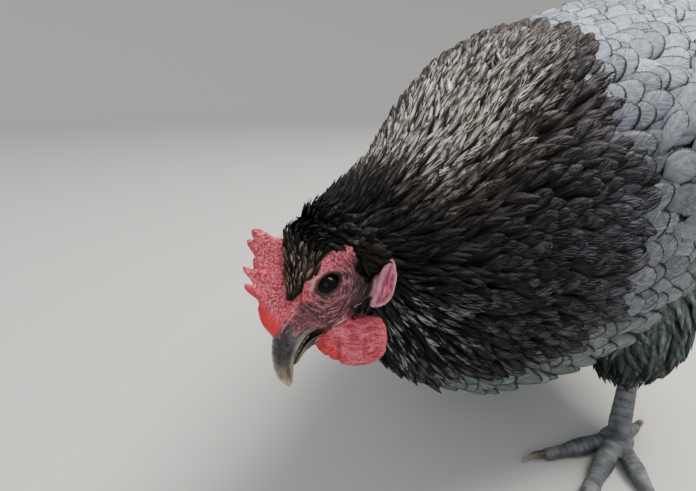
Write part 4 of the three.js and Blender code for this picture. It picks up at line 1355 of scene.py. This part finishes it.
def make_claws(material):
    """Blunt, gently bent claws out of the toes' ends"""
    rows, columns = 46, 24
    for name in SIDES:
        for toe, (turn, length, thick, claw) in TOES.items():
            out = np.radians(turn * SIDES[name])
            far = np.array([length - 3.5, length, length + claw / 2, length + claw])
            high = [0.72 * thick + 0.1, 0.72 * thick + 0.4, 0.72 * thick + 0.5, 1.0]
            axis = np.stack([np.sin(out) * far, -np.cos(out) * far, high], -1)
            rings = rod(axis, thick * np.array([0.44, 0.5, 0.4, 0.1]), rows, columns)
            solid = tube(on_foot(name, rings))
            piece = plain_piece(f"nail_{toe}_{name}", [solid], material, "horn", f"claw_{toe}_{name}")
            share = np.repeat(np.linspace(0, 1, rows), columns)
            tone = blend("#4b4642", "#a8987c", step(0.4, 1, share))
            store(piece, "tone", np.concatenate([tone, tone[:1], tone[-1:]]))
            turns = np.tile(np.arange(columns) * 0.7, rows)
            grain = np.stack([share * 2, turns, 0 * share], -1)
            store(piece, "grain", np.concatenate([grain, grain[:1], grain[-1:]]))


# ---------------------------------------------------------------- plumage colours

CAPE_DARK, CAPE_WARM, CAPE_GREY = colour("#09090b"), colour("#1c1512"), colour("#3a3634")
CREAM, SILVER = colour("#d8cfc2"), colour("#aeabb0")
LILAC, SLATE, SMOKE = colour("#bcc4d6"), colour("#6e7279"), colour("#63706d")
LACE_DARK, LACE_SOFT = colour("#17181c"), colour("#4b4e5a")
DOWN_GREY = colour("#3b4241")


def cape_edge(angle):
    """The line where the dark cape ends: farther back over the spine, nearer under the
    breast"""
    up, down = np.clip(np.sin(angle), 0, 1), np.clip(-np.sin(angle), 0, 1)
    shoulder = step(0.35, 0.65, up) * step(0.98, 0.8, up)
    return np.maximum(9.7 + 0.65 * up**6 - 0.4 * shoulder - 4.8 * down**3.2, 7.4)


def cape_look(p, q, rng):
    """Ground, centre and rim of cape feathers: near black, with painted shade under the neck,
    warmer and streaked with cream towards the spine, where a painted highlight pales them,
    and flecked with silver beside the throat"""
    number = len(p)
    high = step(0.26, 0.95, np.sin(q)) * step(4.2, 6.5, p)
    late = step(-2.2, -0.5, p - cape_edge(q))
    # painted highlight: where the spine faces the sky, ground, pale share and streaks all turn lighter
    painted_light = step(0.46, 0.97, np.sin(q)) * step(4.4, 6.2, p) * (1 - 0.6 * late)
    ground = blend(CAPE_DARK, CAPE_WARM, np.clip(high * 0.9 + rng.normal(0.1, 0.12, number), 0, 1))
    ground = blend(ground, "#57504a", 0.6 * painted_light**3)
    pale = np.clip(rng.beta(1.1, 4.0, number) * (0.1 + 1.1 * painted_light) + 0.95 * painted_light**3, 0, 1)
    throat = step(7.2, 5.0, p) * step(0.15, -0.4, np.sin(q)) * (rng.random(number) < 0.75)
    pale = np.clip(pale + 1.1 * throat * rng.random(number), 0, 1)
    streak = blend(blend(SILVER, CREAM, rng.random(number) * high), "#f3ede2", 0.6 * painted_light**3)
    dull = blend("#19181b", "#544337", high * rng.random(number))
    scaled = step(6.0, 7.6, p) * (1 - high) * rng.beta(1.6, 1.6, number)
    dull = blend(dull, "#4c4a53", scaled)
    # painted shade: centres darker on the underside of the neck, and a little lighter or darker at random
    dull = dull * (1 - 0.3 * step(0.1, -0.7, np.sin(q)))[:, None] * rng.normal(1, 0.2, number)[:, None]
    centre = blend(np.clip(dull, 0, 1), streak, pale)
    fade = late**2 * rng.uniform(0.0, 0.8, number)
    centre = blend(centre, "#77757d", fade)
    rim = blend(ground * 0.7, CAPE_GREY, 0.3 * high)
    return blend(ground, "#3b3a40", fade), centre, rim


def laced_look(p, q, rng):
    """Ground, centre and rim of laced feathers: lilac on the back, slate on the sides,
    smoky under the breast, with painted shade under its front"""
    number = len(p)
    high = step(0.45, 0.98, np.sin(q))
    low = step(-0.1, -0.75, np.sin(q))
    ground = blend(blend(SLATE, LILAC, high), SMOKE, low)
    # painted shade: darker under the front of the breast
    ground = ground * (1 - 0.3 * low * step(9.8, 7.5, p))[:, None]
    near = step(2.6, 0.0, p - cape_edge(q)) * rng.uniform(0.2, 1.0, number)
    ground = blend(ground, SLATE * 0.8, 0.6 * near)
    ground = ground * rng.normal(1, 0.13, number)[:, None]
    return blend(ground * 0.82, ground * 0.55, near), ground * 1.25, blend(LACE_DARK, LACE_SOFT, high * 0.7)


def down_look(p, rng, light):
    """Ground, centre and rim of the smoky down on belly and thighs, lighter where it
    meets the flank"""
    number = len(p)
    ground = blend(DOWN_GREY, SMOKE, light + 0 * p) * rng.normal(1, 0.16, number)[:, None]
    return ground * 0.8, ground * 1.25, ground * 0.62


def look_of(rng, colours, length, width, depth, **more):
    """Everything that shapes and colours a row of vanes, with its small chances. A pair in
    `more` is drawn: between its two for lace and streak, else as a mean and a spread."""
    number = len(length)
    for key, value in more.items():
        if isinstance(value, tuple):
            draw = rng.uniform if key in ("lace", "streak") else rng.normal
            more[key] = draw(*value, number)
    look = {"length": length * rng.normal(1, 0.06, number), "width": width * rng.normal(1, 0.06, number),
        "depth": depth, "turn": rng.normal(0, 0.09, number), "bend": rng.normal(0, 0.06, number),
        "tilt": rng.normal(0.03, 0.04, number), "curl": rng.normal(-0.02, 0.03, number),
        "raise": rng.normal(-0.7, 0.35, number), "arch": 0.09, "rib": 0.03, "shaft": 0.12, "thick": 0.3,
        "lace": 0.0, "streak": 0.4, "seed": rng.random(number), "ground": colours[0], "centre": colours[1],
        "rim": colours[2]}
    look.update(more)
    for key in ("depth", "lace", "streak", "turn", "tilt"):
        look[key] = np.broadcast_to(look[key], number)
    return look


# ---------------------------------------------------------------- feather tracts

HACKLE_VANE = vane_template(outline_lance, 0.2, 14, 5, 2.4, 0.14, 0.45)
SCALE_VANE = vane_template(outline_round, 0.34, 14, 7, 1.5, 0.09, 0.48)
ROUND_VANE = vane_template(outline_round, 0.28, 17, 9, 1.4, 0.045, 0.45)
DOWN_VANE = vane_template(outline_oval, 0.3, 15, 5, 2.4, 0.3, 0.35)
QUILL_VANE = vane_template(outline_quill, 0.13, 36, 9, 1.2, 0.03, 0.15)
SMALL_VANE = vane_template(outline_lance, 0.24, 8, 5, 1.4, 0.16, 0.3)
HAIR_VANE = vane_template(outline_lance, 0.07, 5, 3, 0.5, 0.0, 0.2)


def on_body(p, q):
    """Where a root lies on the body's own unrolled skin"""
    return np.stack([np.mod(q / (2 * np.pi) + 0.25, 1), p / (TAIL_ROOT + 1)], -1)


PATCH = 0.1


def on_patch(index, row):
    """Where a root lies on a part's own unrolled skin: a patch beside the body's, with a
    column for each side of the hen and its own row"""

    def unwrap(p, q):
        across = 1.05 + 0.12 * index + (q % (2 * np.pi)) / (2 * np.pi) * PATCH
        return np.stack([across, row + p * PATCH], -1)

    return unwrap


def under_wing(p, q, margin):
    """Whether a place on the trunk lies well under a folded wing"""
    s = (p - WING_FROM) / (WING_TO - WING_FROM)
    middle = np.radians(WING_MIDDLE[0] + (WING_MIDDLE[1] - WING_MIDDLE[0]) * s)
    away = np.abs(np.where(np.cos(q) > 0, q, np.pi - q) - middle)
    return (s > margin) & (s < 1 - margin) & (away < np.radians(WING_HALF) * (1 - margin))


FULL_RING = (-np.pi / 2, 3 * np.pi / 2)
ON_BODY = (body, BODY_LIMITS, 1, on_body)


def lay_head(material):
    """Tiny feathers of crown, ear and throat, and dark bristles on the cheek"""
    rng = np.random.default_rng(7)
    places = [0.7, 1.4, 2.6, 4.0]
    exposed = lambda p: np.interp(p, places, [1.3, 1.5, 2.2, 3.4])
    spacing = lambda p: np.interp(p, places, [1.2, 1.5, 2.2, 3.4])
    p, q = rows_of(body, (0.7, 4.15), exposed, spacing, FULL_RING, rng, 0.03, 0.02)
    ahead, up, left = in_head(body(p, q))
    away, bare = np.abs(left), inside(ahead, up, FACE_EDGE)
    ragged = rng.normal(0, 0.5, len(p))
    behind = (away > 2.4 + 0.8 * ragged) | (ahead < -6.2) | (up < 0)
    clear = (bare < -0.1 + 0.3 * ragged) & (ahead < 14) & behind
    p, q, ahead, up, away, bare = (values[clear] for values in (p, q, ahead, up, away, bare))
    number = len(p)
    crown = step(5, 9, up + 0.35 * ahead) * step(-6, 4, ahead)
    ground = blend(CAPE_DARK * 0.8, "#3a322a", crown * rng.random(number))
    sheen = blend(ground * 1.6, "#6b6264", rng.random(number) ** 2)
    centre = blend(sheen, "#a8987a", crown * rng.random(number) ** 0.8)
    ear = step(-6, -12, ahead) * step(6, 2, up)
    ground, centre = blend(ground, "#171210", ear), blend(centre, "#2c2520", ear)
    rim = blend(ground * 0.8, "#7a6c4c", 0.5 * crown * rng.random(number))
    look = look_of(rng, (ground, centre, rim), exposed(p) * (3.0 + 1.4 * crown),
        spacing(p) * (1.45 + 0.8 * crown), np.interp(p, [0.7, 3, 4], [0.9, 1.4, 2.4]), turn=(0, 0.22),
        lace=-0.3, shaft=0.06, thick=0.12)
    puff = step(6, 11, up + 0.5 * ahead) * step(9, 5, away) * step(12.5, 8, ahead)
    look["raise"] = rng.normal(0.1, 0.25, number) + 1.9 * puff + 0.9 * step(-4.5, -1.0, bare) * (1 - puff)
    look["depth"] = look["depth"] + 1.9 * puff
    plumage = Plumage("head_feathers", *ON_BODY)
    plumage.lay(p, q, look, SMALL_VANE)
    p, q = rows_of(body, (0.75, 3.3), lambda p: 1.3, lambda p: 1.35, FULL_RING, rng, 0.05, 0.05)
    ahead, up, left = in_head(body(p, q))
    gap, bare = np.hypot(ahead, up), inside(ahead, up, FACE_EDGE)
    cheek = step(-4.0, -11.0, ahead + 0.35 * (up + 6)) * step(-1, -5.0, up)
    cheek = cheek + step(-11, -16, up) * step(4, -4, ahead)
    edge = step(3.2, 0.0, bare) * 0.5
    lores = 0.25 * step(5, 8, gap) * step(16, 12, ahead)
    share = np.clip(0.6 * cheek + edge + 0.5 * lores, 0, 1)
    keep = (bare > -0.6) & (rng.random(len(share)) < share) & (gap > 6.6) & (ahead < 14)
    keep = keep & (np.abs(left) > 3)
    p, q = p[keep], q[keep]
    number = len(p)
    black = np.broadcast_to(colour("#0d0b0b"), (number, 3))
    length = rng.uniform(2.4, 4.2, number)
    look = look_of(rng, (black, black * 1.4, black), length, 0.3, 0.5, rib=0.0, shaft=0.02, thick=0.1,
        arch=0.0)
    look["raise"] = rng.normal(0.35, 0.2, number)
    look["turn"] = rng.normal(0, 0.25, number)
    plumage.lay(p, q, look, HAIR_VANE)
    plumage.finish(material, "cape_feather", "head")


def lay_cape(material):
    """The cape: narrow pointed hackles on the neck that widen to dark round scales over
    the shoulders"""
    rng = np.random.default_rng(11)
    places = [3.7, 5, 7, 9]
    exposed = lambda p: np.interp(p, places, [2.6, 3.6, 4.8, 5.4])
    spacing = lambda p: np.interp(p, places, [2.4, 3.1, 4.1, 5.0])
    p, q = rows_of(body, (3.5, 10.2), exposed, spacing, FULL_RING, rng, 0.06, 0.02)
    keep = p < cape_edge(q) - 0.6 + rng.normal(0, 0.08, len(p))
    all_p, all_q = p[keep], q[keep]
    late = all_p + rng.normal(0, 0.35, len(all_p)) > 6.6 + 2.2 * step(0.2, 0.8, np.sin(all_q))
    high, left, nape = np.sin(all_q) >= 0.35, np.cos(all_q) >= 0, all_p < 5.1
    for name, mask in (("cape_nape", nape), ("cape_back", ~nape & high),
            ("cape_left", ~nape & ~high & left), ("cape_right", ~nape & ~high & ~left)):
        plumage = Plumage(name, *ON_BODY)
        for kind, template, stretch in ((~late, HACKLE_VANE, 4.4), (late, SCALE_VANE, 3.0)):
            p, q = all_p[kind & mask], all_q[kind & mask]
            if len(p) == 0:
                continue
            look = look_of(rng, cape_look(p, q, rng), exposed(p) * stretch, spacing(p) * 1.6,
                np.interp(p, [3.5, 4, 6, 9], [1.6, 2.5, 5.0, 7.0]), streak=(0.4, 0.95), lace=(0.0, 0.3),
                turn=(0, 0.15), bend=(0, 0.1), tilt=(0.03, 0.06), curl=(0.0, 0.05))
            plumage.lay(p, q, look, template)
        plumage.finish(material, "cape_feather", "neck")


def lay_trunk(laced, downy):
    """Laced feathers: rows of round scallops over breast, flanks, back and rump; down
    under the belly and vent"""
    rng = np.random.default_rng(23)
    places = [5.5, 7, 9, 12, 15, 16]
    exposed = lambda p: np.interp(p, places, [6.0, 7.6, 9.4, 10.6, 9.5, 8.0])
    spacing = lambda p: np.interp(p, places, [7.2, 9.0, 11.2, 12.5, 11.0, 8.5])
    p, q = rows_of(body, (5.3, 15.9), exposed, spacing, FULL_RING, rng, 0.04, 0.014)
    keep = (p > cape_edge(q) - 1.1) & ~under_wing(p, q, 0.38)
    all_p, all_q = p[keep], q[keep]
    fluffy = np.sin(all_q) < np.interp(all_p, [9.5, 11, 13, 16], [-1.1, -0.72, -0.35, 0.05])
    front, low = all_p < 12, np.sin(all_q) < 0.0
    for name, mask, nodes in (("breast_feathers", low & front & ~fluffy, ["breast"]),
            ("back_feathers", ~low & front, ["back"]),
            ("saddle_feathers", ~front & ~fluffy, ["saddle", "rump"])):
        p, q = all_p[mask], all_q[mask]
        look = look_of(rng, laced_look(p, q, rng), exposed(p) * 3.05, spacing(p) * 1.64, 8.0,
            lace=(0.3, 0.8), streak=(0.6, 1.2), turn=(0, 0.13), bend=(0, 0.08), tilt=(0.03, 0.05))
        look["raise"] = look["raise"] - 2.2 * step(0.5, -0.2, p - cape_edge(q))
        plumage = Plumage(name, *ON_BODY)
        plumage.lay(p, q, look, ROUND_VANE)
        plumage.finish(laced, "body_feather", *nodes)
    p, q = rows_of(body, (9.6, 15.5), lambda p: 7.5, lambda p: 8.0, FULL_RING, rng, 0.08, 0.04)
    keep = np.sin(q) < np.interp(p, [9.5, 11, 13, 16], [-1.0, -0.66, -0.28, 0.12])
    plumage = Plumage("belly_down", *ON_BODY)
    down = {"turn": (0, 0.3), "bend": (0, 0.18), "curl": (0.02, 0.12)}
    lay_down(plumage, p[keep], q[keep], rng, 0.0, (22, 30), (10, 14), 7.5, (-0.2, 0.9), down)
    plumage.finish(downy, "down_feather", "belly", "rump")


def lay_down(plumage, p, q, rng, light, length, width, depth, rise, spread, taper=(1, 1)):
    """Lays loose down at each root, its lengths and widths drawn between two values, and
    raised by a mean and a spread. `taper` scales both towards the thighs' lower ends."""
    number = len(p)
    colours = down_look(p, rng, light)
    length, width = (rng.uniform(*limits, number) * np.interp(p, [2.4, 3.4], [1, least])
        for limits, least in ((length, taper[0]), (width, taper[1])))
    look = look_of(rng, colours, length, width, depth, **spread)
    look["raise"] = rng.normal(*rise, number)
    plumage.lay(p, q, look, DOWN_VANE)


def lay_thighs(downy):
    """Loose smoky down on both thighs, hanging to the hocks"""
    for index, name in enumerate(SIDES):
        rng = np.random.default_rng(31 + index)
        surface, limits = thigh(name), (0.02, len(THIGH_LINES) - 1.02)
        p, q = rows_of(surface, (0.3, 3.35), lambda p: 6.5, lambda p: 7.5, (0, 2 * np.pi), rng, 0.06, 0.05)
        plumage = Plumage(f"thigh_down_{name}", surface, limits, 1, on_patch(index, 0.0))
        down = {"turn": (0, 0.28), "bend": (0, 0.18), "curl": (-0.02, 0.1)}
        light = step(2.3, 0.9, p)
        lay_down(plumage, p, q, rng, light, (19, 26), (9, 13), 6.0, (-0.3, 0.8), down, (0.72, 0.75))
        plumage.finish(downy, "down_feather", f"thigh_{name}")


def lay_wings(laced):
    """Folded wings: six primaries, ten secondaries over them, and rows of coverts on the
    bow over the roots of both"""
    for index, (name, side) in enumerate(SIDES.items()):
        rng = np.random.default_rng(41 + index)
        surface = wing(side)
        plumage = Plumage(f"wing_feathers_{name}", surface, (0.01, 0.985), side, on_patch(index, 0.5))
        # flight feathers, the lowest first, each lying under the one above it
        for count, start, end, long, wide, height, shade in (
                (6, (0.66, -0.66), (0.58, -0.1), (60, 70), 15, -2.4, 0.42),
                (10, (0.4, -0.86), (0.52, 0.7), (80, 62), 19, -0.4, 0.72)):
            share = np.linspace(0, 1, count)
            p, q, length = (low + (high - low) * share for low, high in (*zip(start, end), long))
            ground, centre, rim = laced_look(np.full(count, 11.0), np.radians(18 + 30 * (q + 1) / 2), rng)
            look = look_of(rng, (ground * shade, centre * shade, rim * 0.7), length, wide, 3.0, lace=0.9,
                streak=0.9, turn=-side * 0.05, tilt=side * 0.06, thick=0.5, shaft=0.45, rib=0.06)
            look["raise"] = height + share * 2.2
            plumage.lay(p, q, look, QUILL_VANE)
        girth = (-1.02, 1.02)
        p, q = rows_of(surface, (-0.02, 0.5), lambda s: 10.0, lambda s: 11.5, girth, rng, 0.006, 0.02)
        look = look_of(rng, laced_look(np.full(len(p), 11.0), np.radians(10 + 30 * (q + 1) / 2), rng),
            np.interp(p, [0, 0.4, 0.5], [26.0, 29.0, 32.0]), np.interp(p, [0, 0.4], [15.0, 17.5]), 3.5,
            lace=(0.3, 0.8), streak=(0.6, 1.2), turn=(0, 0.12), bend=(0, 0.08), tilt=(0.03, 0.05))
        look["raise"] = rng.normal(-0.1, 0.35, len(p)) - 6.0 * step(0.26, -0.05, p)
        plumage.lay(p, q, look, ROUND_VANE)
        nodes = (f"wing_{part}_{name}" for part in ("bow", "secondaries", "primaries"))
        plumage.finish(laced, "body_feather", *nodes)


def lay_tail(laced, downy):
    """Ten broad main feathers on each side of the tail, each over the one below it, with
    two rows of shorter coverts over their roots and fluff between the two halves"""
    rng = np.random.default_rng(53)
    for index, (name, side) in enumerate(SIDES.items()):
        surface, limits, unwrap = tail(side), (0.0, 1.0), on_patch(index, 0.25)
        plumage = Plumage(f"tail_feathers_{name}", surface, limits, -side, unwrap)
        count = 10
        share = np.linspace(0, 1, count)
        for template, low, high, root, long, wide, shade, rise in (
                (QUILL_VANE, 0.96, 0.01, -0.06, (92, 116), 22.0, 0.36, 0.0),
                (ROUND_VANE, 0.98, 0.03, -0.12, (50, 74), 18.0, 0.55, 1.6),
                (ROUND_VANE, 1.0, 0.0, -0.2, (30, 46), 15.0, 0.75, 2.8)):
            ground, centre, rim = laced_look(np.full(count, 15.0), np.radians(35 + 35 * share), rng)
            look = look_of(rng, (ground * shade, centre * shade, rim * 0.6),
                long[0] + (long[1] - long[0]) * share, wide, 1.0, lace=0.5, streak=0.9, turn=(0, 0.035),
                tilt=(0.0, 0.02), thick=0.5, shaft=0.5, rib=0.06)
            look["raise"] = -1.5 + share * 2.6 + rise
            plumage.lay(np.full(count, root), low + (high - low) * share, look, template)
        plumage.finish(laced, "body_feather", f"tail_{name}")
        girth = (0.12, 0.86)
        p, q = rows_of(surface, (-0.1, 0.3), lambda s: 6.5, lambda s: 7.0, girth, rng, 0.02, 0.03)
        inner = Plumage(f"tail_fluff_{name}", surface, limits, side, unwrap)
        down = {"turn": (0, 0.16), "bend": (0, 0.12)}
        lay_down(inner, p, q, rng, 0.0, (20, 28), (9, 13), 1.5, (3.4, 0.5), down)
        inner.finish(downy, "down_feather", f"tail_{name}")


# ---------------------------------------------------------------- stage


def ring_floor():
    """Floor and backdrop: a disc that curves up into a low wall, the profile's radius and
    height carried once round"""
    turn = circle(96)
    sweep = np.radians(np.linspace(0, 80, 17))
    radius = np.concatenate([[1.0, 1500, 2600], 2600 + 900 * np.sin(sweep[1:])])
    height = np.concatenate([[0, 0, 0], 900 * (1 - np.cos(sweep[1:]))])
    points = np.stack([radius[:, None] * np.cos(turn), radius[:, None] * np.sin(turn),
        height[:, None] + 0 * turn], -1)
    rows, columns = len(radius), len(turn)
    index = np.arange(rows * columns).reshape(rows, columns)
    right = np.roll(index, -1, axis=1)
    quads = np.stack([index[:-1], index[1:], right[1:], right[:-1]], -1).reshape(-1, 4)
    floor = make_mesh("floor", points.reshape(-1, 3), quads)
    material, tree = blank("pale_paper")
    matt = add(tree, "BsdfPrincipled", {"Base Color": rgba("#dcdbd6"), "Roughness": 0.9})
    add(tree, "OutputMaterial", {"Surface": matt})
    floor.data.materials.append(material)


CAMERA_FROM_EYES = np.array([154.0, -138.2])
CAMERA_HEIGHT = 200.0
CAMERA_HEADING, CAMERA_DOWN = 45.0, 16.9
CAMERA_WIDE = 65.0  # degrees across the frame


def set_camera():
    """Low, close and level with the hen's shoulder, looking down on her bent head"""
    data = bpy.data.cameras.new("camera")
    camera = bpy.data.objects.new("camera", data)
    bpy.context.scene.collection.objects.link(camera)
    place = np.array([*(EYES[:2] + CAMERA_FROM_EYES), CAMERA_HEIGHT]) * MM
    camera.location = place
    camera.rotation_euler = np.radians([90 - CAMERA_DOWN, 0, CAMERA_HEADING])
    data.angle = np.radians(CAMERA_WIDE)
    data.clip_start = 0.01
    bpy.context.scene.camera = camera


def area_light(name, place, size, power, tint):
    """A soft square lamp that faces the hen's middle"""
    data = bpy.data.lights.new(name, "AREA")
    data.size, data.energy, data.color = size, power, colour(tint)
    lamp = bpy.data.objects.new(name, data)
    bpy.context.scene.collection.objects.link(lamp)
    lamp.location = place
    away = Vector(place) - Vector((0, -0.05, 0.15))
    lamp.rotation_euler = away.to_track_quat("Z", "Y").to_euler()


def set_lights():
    """An overcast sky, a broad key from above and behind her left shoulder, and a fill"""
    world = bpy.data.worlds.new("sky")
    world.use_nodes = True
    world.node_tree.nodes["Background"].inputs[0].default_value = rgba("#e9edf2")
    world.node_tree.nodes["Background"].inputs[1].default_value = 0.6
    bpy.context.scene.world = world
    area_light("key", (0.35, 0.45, 1.5), 0.8, 34, "#fffaf2")
    area_light("fill", (0.9, -1.3, 0.9), 0.9, 5, "#eef3ff")


set_camera()
set_lights()
ring_floor()
make_skin()
horn = horn_material()
make_eyes(eye_material())
make_bill(horn)
make_claws(horn)
hackle = feather_material("hackle_barbs", 9, 0.11, 0.7, 2.0, 0.4, 0.3)
laced = feather_material("laced_barbs", 28, 0.22, 0.6, 2.2, 0.11, 0.5)
downy = feather_material("down_barbs", 18, 0.08, 0.8, 1.3, 0.45, 0.5)
lay_head(hackle)
lay_cape(hackle)
lay_trunk(laced, downy)
lay_thighs(downy)
lay_wings(laced)
lay_tail(laced, downy)
